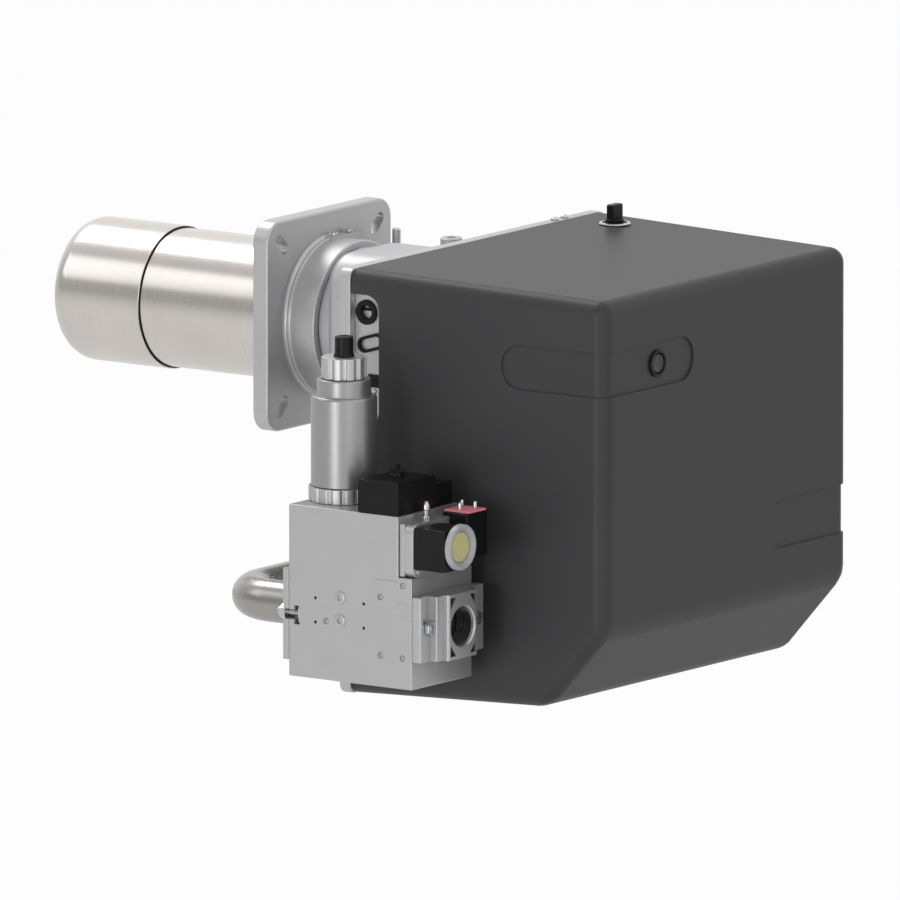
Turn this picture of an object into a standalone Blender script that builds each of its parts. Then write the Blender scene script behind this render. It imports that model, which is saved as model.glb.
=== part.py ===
"""Industrial gas burner: a hinged monobloc with a blast tube, a gas train and a fan under a hood.

Frame: metres, +Z up. The origin is on the blast tube's axis, at the boiler face of the
mounting flange. +X runs from the flame towards the hood's rear wall, and the gas train
hangs on the -Y side.
"""
import math

import bmesh
import bpy
from mathutils import Matrix, Vector

# Clearances, and how far cutters and fused shapes overrun each other
GAP = 0.0003
PLAY = 0.0006
OVERRUN = 0.003
BURY = 0.001

# Facets around a full turn
FINE = 36
MEDIUM = 20
COARSE = 12

# Mounting flange and its collar
FLANGE_SIDE = 0.213
FLANGE_THICK = 0.019
FLANGE_CORNER = 0.021
BOLT_SPACING = 0.164
SLOT_LENGTH = 0.025
SLOT_WIDTH = 0.012
COLLAR_RADIUS = 0.079
COLLAR_LENGTH = 0.037
COLLAR_FOOT = 0.004
COLLAR_BEAD = 0.0016
BEAD_WIDTH = 0.003
COLLAR_WALL = 0.015
TUBE_SEAT = 0.008

# Blast tube and flame nozzle
TUBE_STEP = 0.0087
TUBE_WALL = 0.002
TUBE_REACH = 0.165
NOZZLE_WALL = 0.0019
NOZZLE_LENGTH = 0.111
NOZZLE_LAP = 0.030
LIP_LENGTH = 0.018
LIP_DROP = 0.0125
LIP_STEPS = 3

# Hinge between the flange and the neck
HINGE_STANDOFF = 0.001
HINGE_BACK = 0.012
EAR_RADIUS = 0.009
EAR_TOP = 0.057
KNUCKLE_HALF = 0.030
PIN_RADIUS = 0.0035
PIN_RISE = 0.023
PIN_SHOULDER_RADIUS = 0.0078
PIN_SHOULDER_THICK = 0.003

# Retaining screws on the collar
COLLAR_SCREW_SPACING = 0.0247
COLLAR_SCREW_RADIUS = 0.0036
COLLAR_SCREW_HEAD = 0.003
COLLAR_SCREW_BACK = 0.006
COLLAR_PAD = 0.0105
PAD_LENGTH = 0.012

# Mixing head
LANCE_RADIUS = 0.021
LANCE_WALL = 0.003
SPIDER_THICK = 0.010
SPIDER_RIM = 0.0045
SPIDER_HUB = 0.005
SPIDER_ARM = 0.008
SPIDER_BACK = 0.014
HEAD_RADIUS = 0.040
HEAD_LENGTH = 0.045
HEAD_WALL = 0.004
HEAD_REACH = 0.245
HEAD_STUB = 0.012
STUB_LENGTH = 0.012
PORT_RADIUS = 0.003
PORTS = 6
BAFFLE_RIM_GAP = 0.0083
BAFFLE_THICK = 0.0025
BAFFLE_STANDOFF = 0.004
VANES = 12
VANE_LENGTH = 0.024
VANE_SLOT = 0.0045
VANE_CHORD = 0.010
VANE_THICK = 0.0014
VANE_TILT = math.radians(35)
VANE_PLACE_SHARE = 0.52
ELECTRODE_INSET = 0.011
INSULATOR_RADIUS = 0.0055
INSULATOR_LENGTH = 0.070
INSULATOR_TIP = 0.006
ELECTRODE_WIRE = 0.0013
ELECTRODE_BEND = 0.012
ELECTRODE_TAIL = 0.010

# Neck casting
SPIGOT_STEP = 0.007
SPIGOT_LENGTH = 0.0227
NECK_STEP = 0.0005
NECK_LENGTH = 0.1087
NECK_WALL = 0.006
MOUTH_STEP = 0.002
POCKET_REACH = 0.0205
POCKET_CORNER = 0.022
DUCT_STEPS = 16
CORNER_STEPS = 4
BOSS_RADIUS = 0.011
BOSS_HEIGHT = 0.015
BOSS_BACK = 0.015
BOSS_SIDE = 0.006
ARM_OVERLAP = 0.020

# Front plate
PLATE_THICK = 0.013
PLATE_HALF = 0.220
PLATE_RISE = 0.0145
PLATE_BOTTOM = 0.335
PLATE_CORNER = 0.009
PLATE_SCREW_STEP = 0.020
PLATE_SCREW_SPACING = 0.017
PLATE_SCREW_RADIUS = 0.0042
PLATE_SCREW_HEAD = 0.003

# Hood
HOOD_REAR_SPACE = 0.017
HOOD_STEP = 0.001
HOOD_TAPER = 0.013
HOOD_ROOF_FALL = 0.008
HOOD_WALL = 0.0045
HOOD_EDGE = 0.015
CHAMFER_LENGTH = 0.075
CHAMFER_RISE = 0.078
HOOD_FLOOR_RISE = 0.010
BAND_DEPTH = 0.0025
BAND_REACH = 0.1225
BUTTON_BAND_UP = 0.0215
BUTTON_BAND_DOWN = 0.0235
BUTTON_BAND_REACH = 0.061
REAR_BAND_TOP = 0.153
REAR_BAND_HEIGHT = 0.049
REAR_BAND_LENGTH = 0.134
WINDOW_DEPTH = 0.0345
WINDOW_TOP = 0.073
WINDOW_LOW = 0.062
WINDOW_CORNER = 0.010
INTAKE_SLOTS = 8
INTAKE_PITCH = 0.016
INTAKE_WIDTH = 0.008
INTAKE_LENGTH = 0.110

# Hood latch
LATCH_BACK = 0.053
LATCH_INSET = 0.058
WASHER_RADIUS = 0.016
WASHER_THICK = 0.0018
KNOB_BASE_RADIUS = 0.010
KNOB_BASE_HEIGHT = 0.004
KNOB_WING_LENGTH = 0.021
KNOB_WING_WIDTH = 0.009
KNOB_WING_HEIGHT = 0.014
STEM_RADIUS = 0.004
STEM_DROP = 0.024
STEM_BAR_LENGTH = 0.016
STEM_BAR_SIZE = 0.004
TONGUE_THICK = 0.003
TONGUE_WIDTH = 0.026
TONGUE_FOOT = 0.040

# Fan
WHEEL_RADIUS = 0.092
CUTOFF_GAP = 0.008
FAN_SPACE = 0.041
DUCT_TOP = 0.050
SCROLL_GROWTH = 0.042
SCROLL_START = math.radians(150)
SCROLL_SWEEP = math.radians(300)
SCROLL_STEPS = 26
VOLUTE_HALF = 0.039
VOLUTE_WALL = 0.003
VOLUTE_FLANGE = 0.005
VOLUTE_RIM = 0.012
INLET_STEP = 0.026
INLET_LIP = 0.004
INLET_REACH = 0.006
INLET_PROUD = 0.002
WHEEL_FRONT = 0.030
WHEEL_BACK = 0.032
WHEEL_DISC = 0.003
WHEEL_SHROUD = 0.008
BLADES = 28
BLADE_DEPTH = 0.018
BLADE_THICK = 0.0014
BLADE_SWEEP = math.radians(13)
BLADE_CURL_SHARE = 0.1
HUB_RADIUS = 0.020
HUB_LENGTH = 0.020
SHAFT_RADIUS = 0.007
SHAFT_OVERHANG = 0.006
SHAFT_SEAT = 0.022

# Motor
MOTOR_STEP = 0.032
MOTOR_LENGTH = 0.104
MOTOR_FLANGE = 0.008
FIN_DEPTH = 0.006
FINS = 30
END_CAP_LENGTH = 0.026
END_CAP_CROWN = 0.008
CAPACITOR_RADIUS = 0.018
CAPACITOR_LENGTH = 0.076
CAPACITOR_OFFSET = 0.012

# Air box, damper and its servomotor
AIR_BOX_HALF = 0.072
AIR_BOX_DEPTH = 0.0754
AIR_BOX_TOP = 0.074
AIR_BOX_BOTTOM = 0.140
AIR_BOX_WALL = 0.003
DAMPER_DROP = 0.113
DAMPER_THICK = 0.0025
DAMPER_SHAFT = 0.004
SERVO_LENGTH = 0.054
SERVO_WIDTH = 0.056
SERVO_HEIGHT = 0.060
SERVO_SOCKET = 0.018

# Control box, transformer and air pressure switch
CONTROL_LENGTH = 0.106
CONTROL_INSET = 0.030
CONTROL_SPACE = 0.0177
CONTROL_HEIGHT = 0.078
CONTROL_SETBACK = 0.0185
TRANSFORMER_LENGTH = 0.080
TRANSFORMER_WIDTH = 0.060
TRANSFORMER_HEIGHT = 0.056
TRANSFORMER_SPACE = 0.018
AIR_SWITCH_RADIUS = 0.032
AIR_SWITCH_DEPTH = 0.032
AIR_SWITCH_INSET = 0.070
AIR_SWITCH_DROP = 0.120
AIR_NOZZLE_RADIUS = 0.004
AIR_NOZZLE_LENGTH = 0.012

# Lock-out reset button
BUTTON_INSET = 0.106
BUTTON_RISE = 0.0317
BUTTON_RADIUS = 0.0095
BUTTON_PROUD = 0.0005
BUTTON_STEM = 0.005
BUTTON_STEM_LENGTH = 0.008
BUTTON_TRAVEL = 0.0025
BEZEL_RADIUS = 0.014
BEZEL_PROUD = 0.003
BEZEL_WALL = 0.0018
BEZEL_BARREL = 0.006

# Cable panel behind the hood's cut-out
PANEL_LENGTH = 0.046
PANEL_TOP = 0.075
PANEL_LOW = 0.075
PANEL_THICK = 0.003
PANEL_FOOT = 0.024
GLAND_BACK = 0.0150
GLAND_HEIGHT = 0.0526
GLAND_RADIUS = 0.0125
GLAND_BORE = 0.0080
GLAND_PROUD = 0.0012
GLAND_NECK = 0.0100
GLAND_DEPTH = 0.008
GROMMET_BACK = 0.0205
GROMMET_HEIGHT = 0.0220
GROMMET_LENGTH = 0.032
GROMMET_WIDTH = 0.0165
GROMMET_RIM = 0.0024
GROMMET_TILT = math.radians(17)
PLUG_BACK = 0.019
PLUG_HEIGHT = 0.0135
PLUG_LENGTH = 0.015
PLUG_DROP = 0.013

# Gas pipe
PIPE_RADIUS = 0.0212
PIPE_BEND = 0.048
GAS_AXIS_INSET = 0.052
GAS_AXIS_DROP = 0.236
RUN_BACK = 0.0275
RISER_INSET = 0.045
RISER_ENTRY = 0.012
MANIFOLD_BORE = 0.018
MANIFOLD_BEND = 0.024
MANIFOLD_REACH = 0.030
BEND_STEPS = 5

# Gas valve block
BLOCK_BACK = 0.0097
BLOCK_SPACE = 0.015
BLOCK_LENGTH = 0.1497
BLOCK_UPPER_LENGTH = 0.1331
BLOCK_WIDTH = 0.103
BLOCK_TOP = 0.125
BLOCK_LEDGE = 0.186
BLOCK_BOTTOM = 0.298
BLOCK_EDGE = 0.002
OUTLET_THICK = 0.0074
OUTLET_TOP = 0.190
OUTLET_BOTTOM = 0.282
T_SLOT_DEPTH = 0.025
T_SLOT_WIDTH = 0.010
T_SLOT_HEAD = 0.019
T_SLOT_NECK = 0.0065
T_SLOT_HEAD_LENGTH = 0.0070
BOLT_INSET = 0.012
BOLT_RADIUS = 0.0040
BOLT_TAIL = 0.006
NUT_RADIUS = 0.0092
NUT_THICK = 0.0065

# Inlet flange
INLET_ROOT = 0.0106
INLET_BOSS = 0.014
INLET_TOP = 0.204
INLET_BOTTOM = 0.270
INLET_REACH_FAR = 0.108
INLET_BOSS_NEAR = 0.0285
INLET_BOSS_SIDE = 0.0495
INLET_BORE = 0.0195
INLET_DROP = 0.0025
INLET_BORE_DEPTH = 0.022
POCKET_SIZE = 0.0125
POCKET_INSET = 0.0035
POCKET_SINK = 0.006
INLET_BOLT_NEAR = 0.013
INLET_BOLT_SPACING = 0.078
INLET_BOLT_HEAD = 0.006
INLET_BOLT_RADIUS = 0.0080

# Solenoid tower
TOWER_BACK = 0.0303
TOWER_RING_RADIUS = 0.0355
TOWER_RING_HEIGHT = 0.0147
TOWER_RING_FLUTES = 16
FLUTE_DEPTH = 0.0015
TOWER_RADIUS = 0.0330
TOWER_HEIGHT = 0.0905
TOWER_COLLAR_RADIUS = 0.0270
TOWER_COLLAR_HEIGHT = 0.0168
TOWER_FILLET = 0.003
FLOW_RING_RADIUS = 0.0225
FLOW_RING_HEIGHT = 0.0215
FLOW_RING_LOBES = 10
LOBE_DEPTH = 0.0022
SPINDLE_RADIUS = 0.0050
SPINDLE_HEIGHT = 0.010
SOCKET_RADIUS = 0.006
SOCKET_DEPTH = 0.008
CAP_RADIUS = 0.0093
CAP_HEIGHT = 0.0200
CAP_FOOT = 0.0012
CAP_WALL = 0.0025

# Coil plug on the block
COIL_PLUG_BACK = 0.0833
COIL_PLUG_LENGTH = 0.050
COIL_PLUG_WIDTH = 0.066
COIL_PLUG_HEIGHT = 0.0327
COIL_STEP_WIDTH = 0.031
COIL_STEP_HEIGHT = 0.0227
COIL_SCREW_RADIUS = 0.006
COIL_SCREW_HEIGHT = 0.013
COIL_SCREW_WING = 0.017
COIL_SCREW_THICK = 0.004

# Gas pressure switch and the second connector
ADAPTER_LENGTH = 0.0182
ADAPTER_WIDTH = 0.098
ADAPTER_TOP = 0.131
ADAPTER_CORNER = 0.010
SWITCH_LENGTH = 0.039
SWITCH_WIDTH = 0.042
SWITCH_TOP = 0.134
SWITCH_HEIGHT = 0.042
DIAL_INSET = 0.021
DIAL_DROP = 0.152
DIAL_RADIUS = 0.015
DIAL_THICK = 0.003
DIAL_PIVOT = 0.003
WINDOW_RADIUS = 0.023
WINDOW_THICK = 0.0076
WINDOW_PANE = 0.0018
WINDOW_RIM = 0.0025
CONNECTOR_LENGTH = 0.021
CONNECTOR_INSET = 0.062
CONNECTOR_WIDTH = 0.036
CONNECTOR_TOP = 0.1275
CONNECTOR_HEIGHT = 0.0445
GASKET_LENGTH = 0.030
GASKET_OVERHANG = 0.001
GASKET_THICK = 0.0022
CONNECTOR_PIN = 0.0022
CONNECTOR_PIN_HEIGHT = 0.010
CONNECTOR_PINS = 3
NIPPLE_RADIUS = 0.0045
NIPPLE_HEIGHT = 0.018
NIPPLE_INSET = 0.035

# Sizes that follow the collar, the fan wheel and the plate
TUBE_RADIUS = COLLAR_RADIUS - TUBE_STEP
BAFFLE_RADIUS = TUBE_RADIUS - BAFFLE_RIM_GAP
ELECTRODE_OFFSET = BAFFLE_RADIUS - ELECTRODE_INSET
DUCT_RADIUS = COLLAR_RADIUS - COLLAR_WALL
SPIGOT_RADIUS = COLLAR_RADIUS - SPIGOT_STEP
MOUTH_RADIUS = DUCT_RADIUS - MOUTH_STEP
NECK_RADIUS = COLLAR_RADIUS + NECK_STEP
POCKET_SIDE = NECK_RADIUS + POCKET_REACH
BOSS_TOP = NECK_RADIUS + BOSS_HEIGHT
PLATE_TOP = NECK_RADIUS + PLATE_RISE
SCROLL_RADIUS = WHEEL_RADIUS + CUTOFF_GAP
FAN_BACK = SCROLL_RADIUS + FAN_SPACE
INLET_RADIUS = WHEEL_RADIUS - INLET_STEP
MOTOR_RADIUS = WHEEL_RADIUS - MOTOR_STEP
HOOD_DEPTH = FAN_BACK + SCROLL_RADIUS + SCROLL_GROWTH + HOOD_REAR_SPACE
HOOD_FRONT_HALF = PLATE_HALF - HOOD_STEP
HOOD_REAR_HALF = HOOD_FRONT_HALF - HOOD_TAPER
HOOD_REAR_TOP = PLATE_TOP - HOOD_ROOF_FALL
CHAMFER_START = HOOD_DEPTH - CHAMFER_LENGTH
CHAMFER_LOW = PLATE_BOTTOM - HOOD_FLOOR_RISE
CHAMFER_HIGH = CHAMFER_LOW - CHAMFER_RISE
BLOCK_NEAR = PLATE_HALF + BLOCK_SPACE + BLOCK_WIDTH

# Places worked out from the sizes above
COLLAR_REAR = FLANGE_THICK + COLLAR_LENGTH
NECK_FRONT = COLLAR_REAR + GAP
BOX_FRONT = NECK_FRONT + SPIGOT_LENGTH
NECK_REAR = BOX_FRONT + NECK_LENGTH
PLATE_FRONT = NECK_REAR + GAP
PLATE_REAR = PLATE_FRONT + PLATE_THICK
HOOD_FRONT = PLATE_REAR + PLAY
HOOD_REAR = HOOD_FRONT + HOOD_DEPTH
HINGE_X = COLLAR_REAR - HINGE_BACK
HINGE_Y = COLLAR_RADIUS + HINGE_STANDOFF
FAN_X = PLATE_REAR + FAN_BACK
FAN_Z = DUCT_TOP - SCROLL_RADIUS - SCROLL_GROWTH
COVER_FACE = -VOLUTE_HALF - GAP - VOLUTE_WALL
AIR_BOX_REAR_FACE = COVER_FACE - GAP
AIR_BOX_NEAR = AIR_BOX_REAR_FACE - AIR_BOX_DEPTH
DAMPER_Y = (AIR_BOX_NEAR + AIR_BOX_REAR_FACE) / 2
DAMPER_Z = FAN_Z - DAMPER_DROP
SHELF_Z = FAN_Z + AIR_BOX_TOP + GAP
CONTROL_REAR = HOOD_REAR - HOOD_WALL - CONTROL_SETBACK
CONTROL_NEAR = PLATE_HALF - CONTROL_INSET
BUTTON_SIDE = PLATE_HALF - BUTTON_INSET
BUTTON_HEIGHT = SHELF_Z + BUTTON_RISE
MOTOR_FRONT = VOLUTE_HALF + GAP
LATCH_X = PLATE_REAR + LATCH_BACK
LATCH_SIDE = PLATE_HALF - LATCH_INSET
RUN_X = BOX_FRONT + RUN_BACK
RISER_SIDE = POCKET_SIDE - RISER_INSET
BLOCK_X = PLATE_REAR + BLOCK_BACK
GAS_AXIS_SIDE = BLOCK_NEAR - GAS_AXIS_INSET
BLOCK_REAR = BLOCK_X + BLOCK_LENGTH
TOWER_X = BLOCK_X + TOWER_BACK
TOWER_Y = -GAS_AXIS_SIDE
RING_BASE = -BLOCK_TOP + GAP
TOWER_BASE = RING_BASE + TOWER_RING_HEIGHT + GAP
TOWER_TOP = TOWER_BASE + TOWER_HEIGHT + TOWER_COLLAR_HEIGHT
FLOW_RING_BASE = TOWER_TOP + GAP
CAP_BASE = FLOW_RING_BASE + FLOW_RING_HEIGHT + GAP
ADAPTER_X = BLOCK_X + BLOCK_UPPER_LENGTH + GAP
SWITCH_X = ADAPTER_X + ADAPTER_LENGTH + GAP
DIAL_X = SWITCH_X + SWITCH_LENGTH
DIAL_SIDE = BLOCK_NEAR - DIAL_INSET
CONNECTOR_Y = CONNECTOR_INSET - BLOCK_NEAR

# Which world axes a flat outline's two directions and its normal take
FACING = {
    "X": ((0, 1, 0), (0, 0, 1), (1, 0, 0)),
    "Y": ((0, 0, 1), (1, 0, 0), (0, 1, 0)),
    "-Y": ((1, 0, 0), (0, 0, 1), (0, -1, 0)),
    "Z": ((1, 0, 0), (0, 1, 0), (0, 0, 1)),
}

# Colour, metallic value and roughness of each finish
FINISHES = {
    "cast_aluminium": ((0.42, 0.42, 0.42), 0.6, 0.5),
    "valve_aluminium": ((0.47, 0.47, 0.47), 0.6, 0.45),
    "stainless_steel": ((0.58, 0.55, 0.52), 0.9, 0.32),
    "zinc_steel": ((0.55, 0.55, 0.56), 0.9, 0.35),
    "hood_grey": ((0.065, 0.065, 0.07), 0.0, 0.45),
    "black_plastic": ((0.012, 0.012, 0.012), 0.0, 0.4),
    "button_grey": ((0.08, 0.08, 0.085), 0.0, 0.4),
    "control_plastic": ((0.10, 0.12, 0.14), 0.0, 0.45),
    "motor_paint": ((0.04, 0.05, 0.06), 0.3, 0.5),
    "galvanised_sheet": ((0.50, 0.51, 0.52), 0.8, 0.4),
    "ceramic": ((0.80, 0.78, 0.72), 0.0, 0.3),
    "clear_cover": ((0.80, 0.82, 0.80), 0.0, 0.05),
    "dial_yellow": ((0.60, 0.58, 0.12), 0.0, 0.35),
    "gasket_red": ((0.62, 0.12, 0.15), 0.0, 0.5),
}


def clear_scene():
    """Remove whatever the open file holds."""
    for thing in list(bpy.data.objects):
        bpy.data.objects.remove(thing, do_unlink=True)


def collection(name):
    """A new collection linked to the scene."""
    group = bpy.data.collections.new(name)
    bpy.context.scene.collection.children.link(group)
    return group


clear_scene()
PARTS = collection("gas_burner")
CUTTERS = collection("cutters")


def finish(name):
    """The Principled material of a finish, made once."""
    known = bpy.data.materials.get(name)
    if known:
        return known
    colour, metallic, roughness = FINISHES[name]
    material = bpy.data.materials.new(name)
    material.use_nodes = True
    shader = material.node_tree.nodes["Principled BSDF"]
    shader.inputs["Base Color"].default_value = (*colour, 1.0)
    shader.inputs["Metallic"].default_value = metallic
    shader.inputs["Roughness"].default_value = roughness
    material.diffuse_color = (*colour, 1.0)
    return material


def placed(name, mesh, location=(0, 0, 0), rotation=None):
    """An object for a mesh, at its place."""
    thing = bpy.data.objects.new(name, mesh)
    frame = Matrix.Translation(Vector(location))
    thing.matrix_world = frame @ rotation.to_4x4() if rotation else frame
    PARTS.objects.link(thing)
    return thing


def facing_rotation(facing):
    """The rotation that lays local X, Y and Z on a facing's three directions."""
    return Matrix([list(axis) for axis in FACING[facing]]).transposed()


def facing_point(facing, centre, along=0.0):
    """World place of a plane point, moved along the plane's normal axis."""
    across, up, normal = (Vector(axis) for axis in FACING[facing])
    depth = Vector([abs(value) for value in normal])
    return across * centre[0] + up * centre[1] + depth * along


def box(name, low, high, bevel=0.0, segments=1):
    """A block between two corners, with its edges rounded when a bevel is given."""
    low, high = Vector(low), Vector(high)
    mesh = bpy.data.meshes.new(name)
    shape = bmesh.new()
    bmesh.ops.create_cube(shape, size=1.0)
    bmesh.ops.scale(shape, vec=high - low, verts=shape.verts)
    shape.to_mesh(mesh)
    shape.free()
    thing = placed(name, mesh, (low + high) / 2)
    if bevel:
        soften(thing, bevel, segments)
    return thing


def rod(name, start, end, radius, steps=COARSE, end_radius=None):
    """A straight round bar, or a cone, between two points."""
    start, end = Vector(start), Vector(end)
    mesh = bpy.data.meshes.new(name)
    shape = bmesh.new()
    bmesh.ops.create_cone(shape, cap_ends=True, segments=steps, radius1=radius,
                          radius2=radius if end_radius is None else end_radius, depth=(end - start).length)
    shape.to_mesh(mesh)
    shape.free()
    turn = (end - start).to_track_quat("Z", "Y").to_matrix()
    thing = placed(name, mesh, (start + end) / 2, turn)
    mesh.shade_smooth()
    mesh.set_sharp_from_angle(angle=math.radians(35))
    return thing


def meshed(curve_object):
    """Turn a curve object into a closed mesh object with the same name and place."""
    name = curve_object.name
    bpy.context.view_layer.update()
    seen = curve_object.evaluated_get(bpy.context.evaluated_depsgraph_get())
    mesh = bpy.data.meshes.new_from_object(seen)
    shape = bmesh.new()
    shape.from_mesh(mesh)
    bmesh.ops.remove_doubles(shape, verts=shape.verts, dist=1e-6)
    bmesh.ops.recalc_face_normals(shape, faces=shape.faces)
    shape.to_mesh(mesh)
    shape.free()
    world = curve_object.matrix_world.copy()
    bpy.data.objects.remove(curve_object, do_unlink=True)
    thing = bpy.data.objects.new(name, mesh)
    thing.matrix_world = world
    PARTS.objects.link(thing)
    return thing


def sheet(name, outlines, facing, span, centre=(0, 0)):
    """A flat piece cut to its outlines: the first is the edge and the others are holes."""
    curve = bpy.data.curves.new(name, "CURVE")
    curve.dimensions = "2D"
    curve.fill_mode = "BOTH"
    curve.extrude = (span[1] - span[0]) / 2
    for outline in outlines:
        spline = curve.splines.new("POLY")
        spline.points.add(len(outline) - 1)
        for point, (across, up) in zip(spline.points, outline):
            point.co = (across, up, 0, 1)
        spline.use_cyclic_u = True
    middle = (span[0] + span[1]) / 2
    thing = placed(name, curve, facing_point(facing, centre, middle), facing_rotation(facing))
    return meshed(thing)


def turned(name, profile, facing, centre=(0, 0), steps=FINE):
    """A turned piece, from a profile of radius and place along its axis, high end first, down the outside."""
    mesh = bpy.data.meshes.new(name)
    closed = profile[0][0] > 0
    edges = [(i, i + 1) for i in range(len(profile) - 1)]
    if closed:
        edges.append((len(profile) - 1, 0))
    mesh.from_pydata([(radius, 0, along) for radius, along in profile], edges, [])
    thing = placed(name, mesh, facing_point(facing, centre), facing_rotation(facing))
    screw = thing.modifiers.new("Turn", "SCREW")
    screw.axis = "Z"
    screw.steps = screw.render_steps = steps
    screw.use_merge_vertices = True
    screw.merge_threshold = 1e-6
    screw.use_smooth_shade = True
    return thing


def tube(name, points, radius, resolution=4):
    """A round bar bent along points."""
    curve = bpy.data.curves.new(name, "CURVE")
    curve.dimensions = "3D"
    curve.bevel_depth = radius
    curve.bevel_resolution = resolution
    curve.use_fill_caps = True
    spline = curve.splines.new("POLY")
    spline.points.add(len(points) - 1)
    for point, place in zip(spline.points, points):
        point.co = (*place, 1)
    thing = meshed(placed(name, curve))
    thing.data.shade_smooth()
    thing.data.set_sharp_from_angle(angle=math.radians(40))
    return thing


def soften(thing, width, segments=1):
    """Round a piece's sharp edges."""
    bevel = thing.modifiers.new("Edges", "BEVEL")
    bevel.width = width
    bevel.segments = segments
    bevel.limit_method = "ANGLE"
    bevel.angle_limit = math.radians(40)


def hide(thing):
    """Keep a tool shape out of the part."""
    thing.hide_render = True
    thing.display_type = "WIRE"
    PARTS.objects.unlink(thing)
    CUTTERS.objects.link(thing)


def combine(thing, tool, operation):
    """Add an exact Boolean of a piece with a tool shape."""
    boolean = thing.modifiers.new(tool.name, "BOOLEAN")
    boolean.operation = operation
    boolean.solver = "EXACT"
    boolean.object = tool
    hide(tool)


def cut(thing, *tools):
    """Cut tool shapes out of a piece."""
    for tool in tools:
        combine(thing, tool, "DIFFERENCE")
    return thing


def fuse(thing, *tools):
    """Make tool shapes one body with a piece."""
    for tool in tools:
        combine(thing, tool, "UNION")
    return thing


def dress(thing, finish_name):
    """Give a piece its finish."""
    thing.data.materials.clear()
    thing.data.materials.append(finish(finish_name))
    return thing


def circle(radius, steps=MEDIUM, centre=(0, 0)):
    """Outline of a circle."""
    turns = [2 * math.pi * i / steps for i in range(steps)]
    return [(centre[0] + radius * math.cos(a), centre[1] + radius * math.sin(a)) for a in turns]


def arc(centre, radius, start, end, steps):
    """Points along an arc, with both ends."""
    turns = [start + (end - start) * i / steps for i in range(steps + 1)]
    return [(centre[0] + radius * math.cos(a), centre[1] + radius * math.sin(a)) for a in turns]


def rounded(low, high, radius, steps=4):
    """Outline of a rectangle with rounded corners, anticlockwise from its upper right corner."""
    corners = [(high[0] - radius, high[1] - radius), (low[0] + radius, high[1] - radius),
               (low[0] + radius, low[1] + radius), (high[0] - radius, low[1] + radius)]
    quarter = math.pi / 2
    points = []
    for i, corner in enumerate(corners):
        points += arc(corner, radius, i * quarter, (i + 1) * quarter, steps)
    return points


def turn_points(points, angle, centre=(0, 0)):
    """Outline points turned by an angle and then moved to a centre."""
    c, s = math.cos(angle), math.sin(angle)
    return [(centre[0] + x * c - y * s, centre[1] + x * s + y * c) for x, y in points]


def bore(radius, steps=COARSE, clearance=GAP):
    """Radius of a faceted hole that clears a round bar."""
    return (radius + clearance) / math.cos(math.pi / steps)


def lobed(radius, depth, lobes):
    """Outline of a round grip with lobes: four points a lobe, two out and two in."""
    points = []
    for i in range(4 * lobes):
        out = i % 4 in (0, 1)
        angle = 2 * math.pi * (i + 0.5) / (4 * lobes)
        reach = radius if out else radius - depth
        points.append((reach * math.cos(angle), reach * math.sin(angle)))
    return points


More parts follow.
